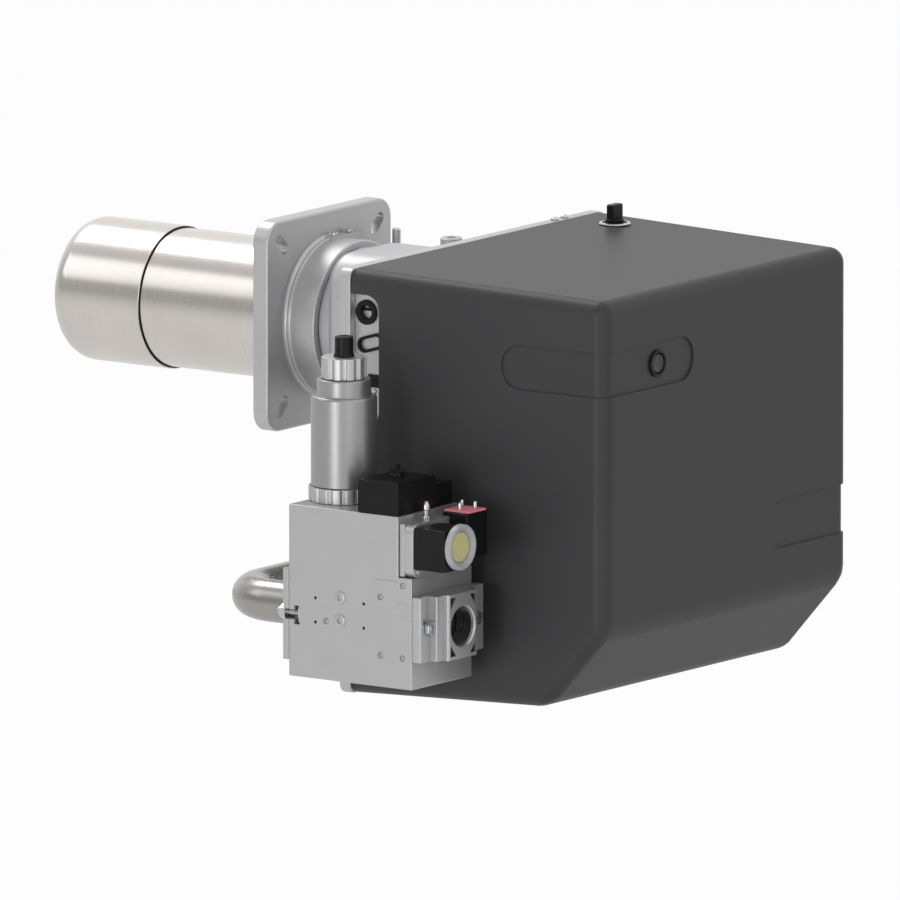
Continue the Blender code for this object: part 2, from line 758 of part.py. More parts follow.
def mounting_flange():
    """Square flange with four radial slots, a round collar and the two fixed hinge ears."""
    half = FLANGE_SIDE / 2
    place = BOLT_SPACING / 2
    slot = rounded((-SLOT_LENGTH / 2, -SLOT_WIDTH / 2), (SLOT_LENGTH / 2, SLOT_WIDTH / 2),
                   SLOT_WIDTH / 2 - BURY / 10, 2)
    outlines = [rounded((-half, -half), (half, half), FLANGE_CORNER, 5)]
    for i in range(4):
        angle = math.pi / 4 + i * math.pi / 2
        reach = place * math.sqrt(2)
        outlines.append(turn_points(slot, angle, (reach * math.cos(angle), reach * math.sin(angle))))
    flange = sheet("mounting_flange", outlines, "X", (0, FLANGE_THICK))
    bead = COLLAR_RADIUS + COLLAR_BEAD
    foot = FLANGE_THICK + COLLAR_FOOT
    collar = turned("collar_form", [
        (0, COLLAR_REAR), (COLLAR_RADIUS - COLLAR_FOOT / 2, COLLAR_REAR),
        (COLLAR_RADIUS, COLLAR_REAR - COLLAR_FOOT / 2),
        (COLLAR_RADIUS, foot + BEAD_WIDTH + COLLAR_BEAD), (bead, foot + BEAD_WIDTH), (bead, foot),
        (COLLAR_RADIUS + COLLAR_FOOT / 3, FLANGE_THICK + COLLAR_FOOT / 3),
        (COLLAR_RADIUS + COLLAR_FOOT, FLANGE_THICK - BURY), (0, FLANGE_THICK - BURY)], "X")
    ear = rod("ear_form", (HINGE_X, HINGE_Y, -EAR_TOP), (HINGE_X, HINGE_Y, EAR_TOP), EAR_RADIUS)
    web_start = COLLAR_RADIUS * math.cos(math.radians(75))
    web_top = COLLAR_RADIUS * math.sin(math.radians(75))
    shoulder = HINGE_Y - 1.5 * EAR_RADIUS
    web = sheet("web_form", [[
        (web_start, web_top), (web_start, -web_top), (shoulder, -EAR_TOP - BURY),
        (HINGE_Y - EAR_RADIUS, -EAR_TOP),
        (HINGE_Y, -EAR_TOP), (HINGE_Y, EAR_TOP), (HINGE_Y - EAR_RADIUS, EAR_TOP),
        (shoulder, EAR_TOP + BURY)]],
        "X", (HINGE_X - EAR_RADIUS + BURY / 10, HINGE_X + EAR_RADIUS - BURY / 10))
    pad = box("pad_form", (FLANGE_THICK - BURY, -COLLAR_PAD, 0),
              (FLANGE_THICK + PAD_LENGTH, COLLAR_SCREW_SPACING + COLLAR_PAD,
               COLLAR_RADIUS + COLLAR_BEAD + PLAY))
    fuse(flange, collar, web, ear, pad)
    seat = TUBE_RADIUS + GAP
    duct = turned("duct_cut", [
        (0, COLLAR_REAR + OVERRUN), (DUCT_RADIUS, COLLAR_REAR + OVERRUN), (DUCT_RADIUS, TUBE_SEAT),
        (seat, TUBE_SEAT), (seat, -OVERRUN), (0, -OVERRUN)], "X")
    notch_x = HINGE_X - EAR_RADIUS - 2 * PLAY
    notch_y = HINGE_Y - EAR_RADIUS - 3 * PLAY
    notch = box("knuckle_cut", (notch_x, notch_y, -KNUCKLE_HALF),
                (COLLAR_REAR + OVERRUN, HINGE_Y + 2 * EAR_RADIUS, KNUCKLE_HALF))
    hole = rod("pin_cut", (HINGE_X, HINGE_Y, -EAR_TOP - OVERRUN), (HINGE_X, HINGE_Y, EAR_TOP + OVERRUN),
               bore(PIN_RADIUS))
    cut(flange, duct, notch, hole)
    return dress(flange, "cast_aluminium")


def blast_tube():
    """Plain rear tube, seated in the flange's counterbore."""
    inner = TUBE_RADIUS - TUBE_WALL
    rear = TUBE_SEAT - GAP
    front = -TUBE_REACH - NOZZLE_LAP
    piece = turned("blast_tube",
                   [(TUBE_RADIUS, rear), (TUBE_RADIUS, front), (inner, front), (inner, rear)], "X")
    return dress(piece, "stainless_steel")


def flame_nozzle():
    """Front sleeve over the tube, with its lip rolled inwards."""
    inner = TUBE_RADIUS + GAP
    outer = inner + NOZZLE_WALL
    lip_start = -TUBE_REACH - NOZZLE_LENGTH + LIP_LENGTH
    turns = [math.pi / 2 * i / LIP_STEPS for i in range(LIP_STEPS + 1)]
    outside = [(outer - LIP_DROP * (1 - math.cos(a)), lip_start - LIP_LENGTH * math.sin(a)) for a in turns]
    inside = [(inner - LIP_DROP * (1 - math.cos(a)), lip_start - (LIP_LENGTH - NOZZLE_WALL) * math.sin(a))
              for a in turns]
    end = (inner - LIP_DROP, lip_start - LIP_LENGTH)
    profile = [(outer, -TUBE_REACH)] + outside + [end] + inside[::-1] + [(inner, -TUBE_REACH)]
    return dress(turned("flame_nozzle", profile, "X"), "stainless_steel")


def hinge_pin():
    """Lift-out pin with a shoulder that rests on the upper ear."""
    shoulder = EAR_TOP + GAP
    piece = turned("hinge_pin", [
        (0, EAR_TOP + PIN_RISE), (PIN_RADIUS - PLAY, EAR_TOP + PIN_RISE),
        (PIN_RADIUS, EAR_TOP + PIN_RISE - PLAY),
        (PIN_RADIUS, shoulder + PIN_SHOULDER_THICK), (PIN_SHOULDER_RADIUS, shoulder + PIN_SHOULDER_THICK),
        (PIN_SHOULDER_RADIUS, shoulder), (PIN_RADIUS, shoulder), (PIN_RADIUS, -EAR_TOP),
        (0, -EAR_TOP - PIN_RADIUS)], "Z", (HINGE_X, HINGE_Y), COARSE)
    return dress(piece, "zinc_steel")


def collar_screws():
    """Two cap screws on the collar's pad, which clamp the blast tube."""
    base = COLLAR_RADIUS + COLLAR_BEAD + PLAY + GAP
    x = FLANGE_THICK + COLLAR_SCREW_BACK
    for i in range(2):
        y = i * COLLAR_SCREW_SPACING
        piece = rod(f"collar_screw_{i + 1}", (x, y, base), (x, y, base + COLLAR_SCREW_HEAD),
                    COLLAR_SCREW_RADIUS, 12)
        dress(piece, "zinc_steel")


def head_support():
    """Three-armed spider that centres the gas lance in the collar."""
    rim = DUCT_RADIUS - GAP
    inner = rim - SPIDER_RIM
    hub = LANCE_RADIUS + SPIDER_HUB
    outlines = [circle(rim, FINE), circle(bore(LANCE_RADIUS, MEDIUM), MEDIUM)]
    for i in range(3):
        start = 2 * math.pi * i / 3 + math.pi / 2
        outer_turn = math.asin(SPIDER_ARM / 2 / inner)
        inner_turn = math.asin(SPIDER_ARM / 2 / hub)
        end = start + 2 * math.pi / 3
        window = arc((0, 0), inner, start + outer_turn, end - outer_turn, 10)
        window += arc((0, 0), hub, end - inner_turn, start + inner_turn, 6)
        outlines.append(window)
    rear = COLLAR_REAR - SPIDER_BACK
    piece = sheet("head_support", outlines, "X", (rear - SPIDER_THICK, rear))
    return dress(piece, "cast_aluminium")


def gas_lance():
    """Tube that carries the gas from the joint face to the distributor head."""
    inner = LANCE_RADIUS - LANCE_WALL
    front = -HEAD_REACH + HEAD_LENGTH - HEAD_WALL
    rear = COLLAR_REAR - GAP
    piece = turned("gas_lance",
                   [(LANCE_RADIUS, rear), (LANCE_RADIUS, front), (inner, front), (inner, rear)],
                   "X", steps=MEDIUM)
    return dress(piece, "stainless_steel")


def gas_head():
    """Hollow distributor with a ring of radial ports and a front stub for the baffle."""
    front = -HEAD_REACH
    rear = front + HEAD_LENGTH
    seat = LANCE_RADIUS + GAP
    neck = seat + HEAD_WALL
    cone = front + HEAD_LENGTH * 0.55
    shoulder = rear - HEAD_LENGTH * 0.2
    room = HEAD_RADIUS - HEAD_WALL
    stub = HEAD_STUB - BAFFLE_THICK
    piece = turned("gas_head", [
        (seat, rear), (neck, rear), (neck, shoulder), (HEAD_RADIUS, cone), (HEAD_RADIUS, front),
        (HEAD_STUB, front),
        (HEAD_STUB, front - BAFFLE_STANDOFF), (stub, front - BAFFLE_STANDOFF), (stub, front - STUB_LENGTH),
        (HEAD_STUB / 2, front - STUB_LENGTH), (HEAD_STUB / 2, front + HEAD_WALL), (room, front + HEAD_WALL),
        (room, cone - HEAD_WALL / 2), (seat, shoulder - HEAD_WALL / 2)], "X", steps=MEDIUM)
    ports_x = (front + HEAD_WALL + cone) / 2
    tools = []
    for i in range(PORTS):
        angle = math.pi * (i + 0.5) / PORTS
        side = Vector((0, math.cos(angle), math.sin(angle))) * (HEAD_RADIUS + OVERRUN)
        middle = Vector((ports_x, 0, 0))
        tools.append(rod(f"port_cut_{i + 1}", middle - side, middle + side, PORT_RADIUS, 8))
    cut(piece, *tools)
    return dress(piece, "stainless_steel")


def baffle_disc():
    """Flame-holding disc with radial slots and a tilted swirl vane on each slot."""
    rear = -HEAD_REACH - BAFFLE_STANDOFF - GAP
    face = rear - BAFFLE_THICK
    hole = bore(HEAD_STUB - BAFFLE_THICK, MEDIUM)
    vane_middle = BAFFLE_RADIUS * VANE_PLACE_SHARE
    half = VANE_LENGTH / 2
    opening = VANE_SLOT / 2
    slot = [(half, opening), (-half, opening), (-half, -opening), (half, -opening)]
    outlines = [circle(BAFFLE_RADIUS, FINE), circle(hole, MEDIUM)]
    for side in (-1, 1):
        outlines.append(circle(bore(INSULATOR_RADIUS), COARSE, (side * ELECTRODE_OFFSET, 0)))
    vanes = []
    for i in range(VANES):
        angle = 2 * math.pi * (i + 0.5) / VANES
        centre = (vane_middle * math.cos(angle), vane_middle * math.sin(angle))
        outlines.append(turn_points(slot, angle, centre))
        vane = box(f"vane_form_{i + 1}", (PLAY - half, -VANE_THICK / 2, -VANE_CHORD),
                   (half - PLAY, VANE_THICK / 2, 0))
        radial = Matrix.Rotation(angle, 4, "X") @ facing_rotation("X").to_4x4()
        edge = Matrix.Translation((vane_middle, opening + VANE_THICK, rear - BURY))
        lean = Matrix.Rotation(-VANE_TILT, 4, "X") @ Matrix.Translation((0, 0, -VANE_CHORD / 2))
        vane.matrix_world = radial @ edge @ lean
        vanes.append(vane)
    piece = sheet("baffle_disc", outlines, "X", (face, rear))
    fuse(piece, *vanes)
    return dress(piece, "stainless_steel")


def electrode(name, side, reach, bend):
    """A ceramic insulator through the baffle, with its wire bent at the flame end."""
    y = side * ELECTRODE_OFFSET
    front = -HEAD_REACH - BAFFLE_STANDOFF - BAFFLE_THICK - GAP - INSULATOR_TIP
    rear = front + INSULATOR_LENGTH
    piece = turned(name, [
        (0, rear), (INSULATOR_RADIUS * 0.8, rear), (INSULATOR_RADIUS, rear - INSULATOR_TIP),
        (INSULATOR_RADIUS, front + INSULATOR_TIP / 2), (INSULATOR_RADIUS * 0.6, front), (0, front)],
        "X", (y, 0), COARSE)
    wire = tube(f"{name}_wire_form", [
        (rear + ELECTRODE_TAIL, y, 0), (front - reach, y, 0),
        (front - reach - bend / 2, y - side * bend, 0)],
        ELECTRODE_WIRE, 1)
    fuse(piece, wire)
    return dress(piece, "ceramic")


def duct_outline(inset):
    """Outline of the neck across its axis: a half round on the far side and a box on the near side."""
    radius = NECK_RADIUS - inset
    corner = POCKET_CORNER - inset
    near = -POCKET_SIDE + inset + corner
    quarter = math.pi / 2
    points = arc((0, 0), radius, -quarter, quarter, DUCT_STEPS)
    points += arc((near, radius - corner), corner, quarter, 2 * quarter, CORNER_STEPS)
    return points + arc((near, corner - radius), corner, 2 * quarter, 3 * quarter, CORNER_STEPS)


def neck_casting():
    """Hollow duct with the moving hinge knuckle, a round mouth and the near-side gas pocket."""
    neck = sheet("neck_casting", [duct_outline(0)], "X", (BOX_FRONT, NECK_REAR))
    spigot = rod("spigot_form", (NECK_FRONT, 0, 0), (BOX_FRONT + BURY, 0, 0), SPIGOT_RADIUS, FINE)
    knuckle = KNUCKLE_HALF - GAP
    arm = box("arm_form", (HINGE_X, HINGE_Y - EAR_RADIUS + BURY / 10, -knuckle),
              (BOX_FRONT + ARM_OVERLAP, HINGE_Y + EAR_RADIUS - BURY / 10, knuckle))
    barrel = rod("barrel_form", (HINGE_X, HINGE_Y, -knuckle), (HINGE_X, HINGE_Y, knuckle), EAR_RADIUS)
    boss_x = NECK_REAR - BOSS_BACK
    boss = rod("boss_form", (boss_x, -BOSS_SIDE, NECK_RADIUS - NECK_WALL / 2),
               (boss_x, -BOSS_SIDE, BOSS_TOP),
               BOSS_RADIUS)
    fuse(neck, spigot, arm, barrel, boss)
    mouth_end = BOX_FRONT + NECK_WALL
    hollow = sheet("neck_hollow_cut", [duct_outline(NECK_WALL)], "X", (mouth_end, NECK_REAR + OVERRUN))
    mouth = rod("neck_mouth_cut", (NECK_FRONT - OVERRUN, 0, 0), (mouth_end + OVERRUN, 0, 0), MOUTH_RADIUS,
                FINE)
    riser = rod("riser_cut", (RUN_X, -RISER_SIDE, -NECK_RADIUS - OVERRUN),
                (RUN_X, -RISER_SIDE, -NECK_RADIUS + NECK_WALL + OVERRUN), bore(PIPE_RADIUS, MEDIUM), MEDIUM)
    pin = rod("knuckle_pin_cut", (HINGE_X, HINGE_Y, -knuckle - OVERRUN),
              (HINGE_X, HINGE_Y, knuckle + OVERRUN),
              bore(PIN_RADIUS))
    cut(neck, hollow, mouth, riser, pin)
    return dress(neck, "cast_aluminium")


def riser_top():
    """Height at which the gas pipe ends inside the neck."""
    return -NECK_RADIUS + NECK_WALL + RISER_ENTRY


def bent(points, radius, steps=BEND_STEPS):
    """A route through corner points, with each corner rounded to a bend radius."""
    corners = [Vector(point) for point in points]
    route = [corners[0]]
    for before, corner, after in zip(corners, corners[1:], corners[2:]):
        into = (before - corner).normalized()
        away = (after - corner).normalized()
        half = into.angle(away) / 2
        centre = corner + (into + away).normalized() * radius / math.sin(half)
        start = corner + into * radius / math.tan(half) - centre
        end = corner + away * radius / math.tan(half) - centre
        sweep = start.angle(end)
        for i in range(steps + 1):
            turn = sweep * i / steps
            route.append(centre + (start * math.sin(sweep - turn) + end * math.sin(turn)) / math.sin(sweep))
    route.append(corners[-1])
    return route


def gas_manifold():
    """Cast elbow inside the neck, from the gas pipe's end to the lance on the axis."""
    foot = Vector((RUN_X, -RISER_SIDE, riser_top() + GAP))
    mouth = Vector((NECK_FRONT, 0, 0))
    corner = mouth + Vector((MANIFOLD_REACH, 0, 0))
    route = bent([foot, (RUN_X, -RISER_SIDE, 0), corner, mouth], MANIFOLD_BEND)
    outer = tube("gas_manifold", route, LANCE_RADIUS, 3)
    ends = [foot - Vector((0, 0, OVERRUN))] + route[1:-1] + [mouth - Vector((OVERRUN, 0, 0))]
    cut(outer, tube("manifold_cut", ends, MANIFOLD_BORE, 2))
    return dress(outer, "cast_aluminium")


def front_plate():
    """Thick plate that carries the fan and closes the hood's front."""
    half = PLATE_HALF
    duct_top = FAN_Z + SCROLL_RADIUS + SCROLL_GROWTH
    duct_low = FAN_Z + SCROLL_RADIUS * math.sin(SCROLL_START)
    duct_half = VOLUTE_HALF - VOLUTE_WALL
    outlines = [rounded((-half, -PLATE_BOTTOM), (half, PLATE_TOP), PLATE_CORNER, 3),
                rounded((-duct_half, duct_low), (duct_half, duct_top), PLATE_CORNER / 2, 2)]
    piece = sheet("front_plate", outlines, "X", (PLATE_FRONT, PLATE_REAR))
    return dress(piece, "cast_aluminium")


def plate_screws():
    """Two screws on the plate's top edge, beside the latch."""
    x = (PLATE_FRONT + PLATE_REAR) / 2
    base = PLATE_TOP + GAP
    for i in range(2):
        y = LATCH_SIDE - PLATE_SCREW_STEP + i * PLATE_SCREW_SPACING
        piece = rod(f"plate_screw_{i + 1}", (x, y, base), (x, y, base + PLATE_SCREW_HEAD),
                    PLATE_SCREW_RADIUS, 12)
        dress(piece, "zinc_steel")


def scroll(offset, outlet):
    """Outline of the fan's spiral and its outlet duct about the fan's axis, moved out by an offset."""
    points = []
    for i in range(SCROLL_STEPS + 1):
        share = i / SCROLL_STEPS
        angle = SCROLL_START + share * SCROLL_SWEEP
        radius = SCROLL_RADIUS + share * SCROLL_GROWTH + offset
        points.append((radius * math.cos(angle), radius * math.sin(angle)))
    top = SCROLL_RADIUS + SCROLL_GROWTH + offset
    low = SCROLL_RADIUS * math.sin(SCROLL_START) - offset
    return points + [(outlet - FAN_X, top), (outlet - FAN_X, low)]


def fan_volute():
    """Spiral fan casing, open on the near side, with its flange on the front plate."""
    centre = (FAN_X, FAN_Z)
    front = HOOD_FRONT
    tray = sheet("fan_volute", [scroll(VOLUTE_WALL, front)], "-Y", (-VOLUTE_HALF, VOLUTE_HALF), centre)
    duct_top = FAN_Z + SCROLL_RADIUS + SCROLL_GROWTH
    duct_low = FAN_Z + SCROLL_RADIUS * math.sin(SCROLL_START)
    rim = VOLUTE_HALF + VOLUTE_RIM
    flange = sheet("volute_flange_form",
                   [rounded((-rim, duct_low - VOLUTE_RIM), (rim, duct_top + VOLUTE_RIM),
                                                  VOLUTE_RIM / 2, 2)], "X", (front, front + VOLUTE_FLANGE))
    fuse(tray, flange)
    far = VOLUTE_HALF - VOLUTE_WALL
    hollow = sheet("volute_hollow_cut", [scroll(0, front - OVERRUN)], "-Y",
                   (-VOLUTE_HALF - VOLUTE_RIM - OVERRUN, far), centre)
    keep = box("volute_keep_form", (front, -rim, duct_low - VOLUTE_RIM),
               (front + VOLUTE_FLANGE, -far, duct_top + VOLUTE_RIM))
    shaft = rod("volute_shaft_cut", (FAN_X, 0, FAN_Z), (FAN_X, VOLUTE_HALF + OVERRUN, FAN_Z),
                2 * SHAFT_RADIUS)
    cut(tray, hollow, shaft)
    fuse(tray, keep)
    return dress(tray, "cast_aluminium")


def volute_cover():
    """Near side of the fan casing, with the bellmouth that leads the air into the impeller."""
    front = HOOD_FRONT + VOLUTE_FLANGE + GAP
    piece = sheet("volute_cover", [scroll(VOLUTE_WALL, front), circle(INLET_RADIUS + INLET_LIP / 2, FINE)],
                  "-Y",
                  (COVER_FACE, -VOLUTE_HALF - GAP), (FAN_X, FAN_Z))
    inner_end = COVER_FACE + VOLUTE_WALL + INLET_REACH
    mouth = turned("bellmouth_form", [
        (INLET_RADIUS + INLET_LIP / 2, inner_end), (INLET_RADIUS + INLET_LIP, COVER_FACE - INLET_PROUD),
        (INLET_RADIUS + INLET_LIP / 2, COVER_FACE - INLET_PROUD), (INLET_RADIUS, inner_end)],
        "Y", (FAN_Z, FAN_X))
    fuse(piece, mouth)
    return dress(piece, "cast_aluminium")


def fan_impeller():
    """Multi-blade fan wheel: back disc, hub, front shroud and forward-curved blades."""
    centre = (FAN_Z, FAN_X)
    eye = bore(SHAFT_RADIUS, FINE)
    disc = WHEEL_BACK - WHEEL_DISC
    wheel = turned("fan_impeller", [
        (WHEEL_RADIUS, WHEEL_BACK), (WHEEL_RADIUS, disc), (HUB_RADIUS, disc),
        (HUB_RADIUS, WHEEL_BACK - HUB_LENGTH),
        (eye, WHEEL_BACK - HUB_LENGTH), (eye, WHEEL_BACK)], "Y", centre, FINE)
    root = WHEEL_RADIUS - BLADE_DEPTH
    tip = WHEEL_RADIUS - BURY
    shroud = turned("shroud_form", [
        (WHEEL_RADIUS, -WHEEL_FRONT + WHEEL_DISC), (WHEEL_RADIUS, -WHEEL_FRONT),
        (WHEEL_RADIUS - WHEEL_SHROUD, -WHEEL_FRONT),
        (WHEEL_RADIUS - WHEEL_SHROUD, -WHEEL_FRONT + WHEEL_DISC)], "Y", centre, FINE)
    lean = BLADE_THICK / 2 / root
    back = [(root, 0), ((root + tip) / 2, -BLADE_SWEEP * BLADE_CURL_SHARE), (tip, BLADE_SWEEP)]
    side_a = [(r * math.cos(a + lean), r * math.sin(a + lean)) for r, a in back]
    side_b = [(r * math.cos(a - lean), r * math.sin(a - lean)) for r, a in back]
    blade = side_b + side_a[::-1]
    blades = []
    for i in range(BLADES):
        angle = 2 * math.pi * i / BLADES
        blades.append(sheet(f"blade_form_{i + 1}", [turn_points(blade, angle)], "-Y",
                            (-WHEEL_FRONT + BURY, disc + BURY), (FAN_X, FAN_Z)))
    fuse(wheel, shroud, *blades)
    return dress(wheel, "galvanised_sheet")


def motor_shaft():
    """Shaft from the motor through the impeller's hub."""
    start = WHEEL_BACK - HUB_LENGTH - SHAFT_OVERHANG
    end = MOTOR_FRONT + SHAFT_SEAT - GAP
    piece = rod("motor_shaft", (FAN_X, start, FAN_Z), (FAN_X, end, FAN_Z), SHAFT_RADIUS, COARSE)
    return dress(piece, "zinc_steel")


def fan_motor():
    """Motor with a round front flange and a finned housing."""
    outline = lobed(MOTOR_RADIUS, FIN_DEPTH, FINS)
    body = sheet("fan_motor", [outline], "-Y", (MOTOR_FRONT + BURY, MOTOR_FRONT + MOTOR_LENGTH),
                 (FAN_X, FAN_Z))
    flange = turned("motor_flange_form", [
        (0, MOTOR_FRONT + MOTOR_FLANGE), (MOTOR_RADIUS + BURY, MOTOR_FRONT + MOTOR_FLANGE),
        (MOTOR_RADIUS + BURY, MOTOR_FRONT), (0, MOTOR_FRONT)], "Y", (FAN_Z, FAN_X), MEDIUM)
    seat = rod("motor_bore_cut", (FAN_X, MOTOR_FRONT - OVERRUN, FAN_Z),
               (FAN_X, MOTOR_FRONT + SHAFT_SEAT, FAN_Z),
               bore(SHAFT_RADIUS))
    fuse(body, flange)
    cut(body, seat)
    return dress(body, "motor_paint")


def motor_end_cap():
    """Domed cap over the motor's rear end."""
    start = MOTOR_FRONT + MOTOR_LENGTH + GAP
    end = start + END_CAP_LENGTH
    piece = turned("motor_end_cap", [
        (0, end), (MOTOR_RADIUS * 0.6, end), (MOTOR_RADIUS * 0.85, end - END_CAP_CROWN / 3),
        (MOTOR_RADIUS, end - END_CAP_CROWN), (MOTOR_RADIUS, start), (0, start)], "Y", (FAN_Z, FAN_X),
        MEDIUM)
    return dress(piece, "motor_paint")


def motor_capacitor():
    """Run capacitor lying on top of the motor."""
    z = FAN_Z + MOTOR_RADIUS + CAPACITOR_RADIUS + GAP
    start = MOTOR_FRONT + CAPACITOR_OFFSET
    piece = rod("motor_capacitor", (FAN_X, start, z), (FAN_X, start + CAPACITOR_LENGTH, z),
                CAPACITOR_RADIUS)
    return dress(piece, "black_plastic")


def air_box():
    """Intake box on the volute cover, open below."""
    low = (FAN_X - AIR_BOX_HALF, AIR_BOX_NEAR, FAN_Z - AIR_BOX_BOTTOM)
    high = (FAN_X + AIR_BOX_HALF, AIR_BOX_REAR_FACE, FAN_Z + AIR_BOX_TOP)
    piece = box("air_box", low, high)
    wall = Vector((AIR_BOX_WALL,) * 3)
    inside_low = Vector(low) + wall
    inside_low.z = low[2] - OVERRUN
    hollow = box("air_box_cut", inside_low, Vector(high) - wall)
    mouth = rod("air_mouth_cut", (FAN_X, DAMPER_Y, FAN_Z), (FAN_X, AIR_BOX_REAR_FACE + OVERRUN, FAN_Z),
                INLET_RADIUS + INLET_LIP + PLAY, FINE)
    shaft = rod("damper_shaft_cut", (low[0] - OVERRUN, DAMPER_Y, DAMPER_Z),
                (high[0] + OVERRUN, DAMPER_Y, DAMPER_Z),
                bore(DAMPER_SHAFT))
    cut(piece, hollow, mouth, shaft)
    return dress(piece, "galvanised_sheet")


def damper_flap():
    """Air damper on its shaft, closed at rest."""
    half_x = AIR_BOX_HALF - AIR_BOX_WALL - 2 * PLAY
    half_y = AIR_BOX_DEPTH / 2 - AIR_BOX_WALL - 2 * PLAY
    piece = box("damper_flap", (FAN_X - half_x, DAMPER_Y - half_y, DAMPER_Z - DAMPER_THICK / 2),
                (FAN_X + half_x, DAMPER_Y + half_y, DAMPER_Z + DAMPER_THICK / 2))
    start = FAN_X - AIR_BOX_HALF - PLAY
    end = FAN_X + AIR_BOX_HALF + GAP + SERVO_SOCKET - PLAY
    shaft = rod("damper_shaft_form", (start, DAMPER_Y, DAMPER_Z), (end, DAMPER_Y, DAMPER_Z), DAMPER_SHAFT,
                COARSE)
    fuse(piece, shaft)
    return dress(piece, "galvanised_sheet")


def damper_servo():
    """Servomotor that turns the damper, on the air box's rear wall."""
    front = FAN_X + AIR_BOX_HALF + GAP
    piece = box("damper_servo", (front, DAMPER_Y - SERVO_WIDTH / 2, DAMPER_Z - SERVO_HEIGHT / 2),
                (front + SERVO_LENGTH, DAMPER_Y + SERVO_WIDTH / 2, DAMPER_Z + SERVO_HEIGHT / 2),
                SERVO_WIDTH / 12)
    socket = rod("servo_socket_cut", (front - OVERRUN, DAMPER_Y, DAMPER_Z),
                 (front + SERVO_SOCKET, DAMPER_Y, DAMPER_Z),
                 bore(DAMPER_SHAFT))
    cut(piece, socket)
    return dress(piece, "black_plastic")


def control_box():
    """Combustion control, on the air box, with a socket for the reset button."""
    low = (CONTROL_REAR - CONTROL_LENGTH, -CONTROL_NEAR, SHELF_Z)
    high = (CONTROL_REAR, COVER_FACE - CONTROL_SPACE, SHELF_Z + CONTROL_HEIGHT)
    piece = box("control_box", low, high, CONTROL_HEIGHT / 20)
    depth = CONTROL_REAR - BUTTON_STEM_LENGTH - BUTTON_TRAVEL - PLAY
    socket = rod("button_socket_cut", (depth, -BUTTON_SIDE, BUTTON_HEIGHT),
                 (CONTROL_REAR + OVERRUN, -BUTTON_SIDE, BUTTON_HEIGHT), bore(BUTTON_STEM))
    cut(piece, socket)
    return dress(piece, "control_plastic")


def reset_button():
    """Lock-out reset button, through the hood's rear wall."""
    face = HOOD_REAR - BAND_DEPTH + BEZEL_PROUD - BUTTON_PROUD
    back = CONTROL_REAR + BUTTON_TRAVEL + PLAY
    piece = turned("reset_button", [
        (0, face), (BUTTON_RADIUS - PLAY, face), (BUTTON_RADIUS, face - PLAY), (BUTTON_RADIUS, back),
        (BUTTON_STEM, back), (BUTTON_STEM, CONTROL_REAR - BUTTON_STEM_LENGTH),
        (0, CONTROL_REAR - BUTTON_STEM_LENGTH)],
        "X", (-BUTTON_SIDE, BUTTON_HEIGHT), MEDIUM)
    return dress(piece, "button_grey")


def reset_bezel():
    """Black ring around the reset button, set in the hood's recess."""
    floor = HOOD_REAR - BAND_DEPTH + GAP
    inner = BUTTON_RADIUS + PLAY
    barrel = inner + BEZEL_WALL
    piece = turned("reset_bezel", [
        (BEZEL_RADIUS - PLAY, floor + BEZEL_PROUD), (BEZEL_RADIUS, floor + BEZEL_PROUD - PLAY),
        (BEZEL_RADIUS, floor),
        (barrel, floor), (barrel, floor - BEZEL_BARREL), (inner, floor - BEZEL_BARREL),
        (inner, floor + BEZEL_PROUD)],
        "X", (-BUTTON_SIDE, BUTTON_HEIGHT), MEDIUM)
    return dress(piece, "black_plastic")


def ignition_transformer():
    """Ignition transformer, on the air box in front of the control box."""
    rear = CONTROL_REAR - CONTROL_LENGTH - TRANSFORMER_SPACE
    near = DAMPER_Y - TRANSFORMER_WIDTH / 2
    piece = box("ignition_transformer", (rear - TRANSFORMER_LENGTH, near, SHELF_Z),
                (rear, near + TRANSFORMER_WIDTH, SHELF_Z + TRANSFORMER_HEIGHT), TRANSFORMER_HEIGHT / 16)
    return dress(piece, "black_plastic")


def air_pressure_switch():
    """Round air pressure switch on the front plate, with its hose nozzle."""
    centre = (AIR_SWITCH_INSET - PLATE_HALF, -AIR_SWITCH_DROP)
    base = PLATE_REAR + GAP
    end = base + AIR_SWITCH_DEPTH
    step = AIR_SWITCH_RADIUS * 0.8
    piece = turned("air_pressure_switch", [
        (0, end + AIR_NOZZLE_LENGTH), (AIR_NOZZLE_RADIUS, end + AIR_NOZZLE_LENGTH),
        (AIR_NOZZLE_RADIUS, end), (step, end),
        (step, (base + end) / 2), (AIR_SWITCH_RADIUS, (base + end) / 2), (AIR_SWITCH_RADIUS, base),
        (0, base)],
        "X", centre, MEDIUM)
    return dress(piece, "black_plastic")


def panel_face():
    """Y of the cable panel's near face, just inside the hood's tapered side."""
    share = (PANEL_LENGTH + GAP) / HOOD_DEPTH
    return -(HOOD_FRONT_HALF + (HOOD_REAR_HALF - HOOD_FRONT_HALF) * share - HOOD_WALL - 2 * PLAY)


def grommet_outline(inset):
    """The slot grommet's tilted outline, moved in by an inset."""
    half_length = GROMMET_LENGTH / 2 - inset
    half_width = GROMMET_WIDTH / 2 - inset
    flat = rounded((-half_length, -half_width), (half_length, half_width), half_width * 0.9, 4)
    return turn_points(flat, GROMMET_TILT, (PLATE_REAR + GROMMET_BACK, GROMMET_HEIGHT))


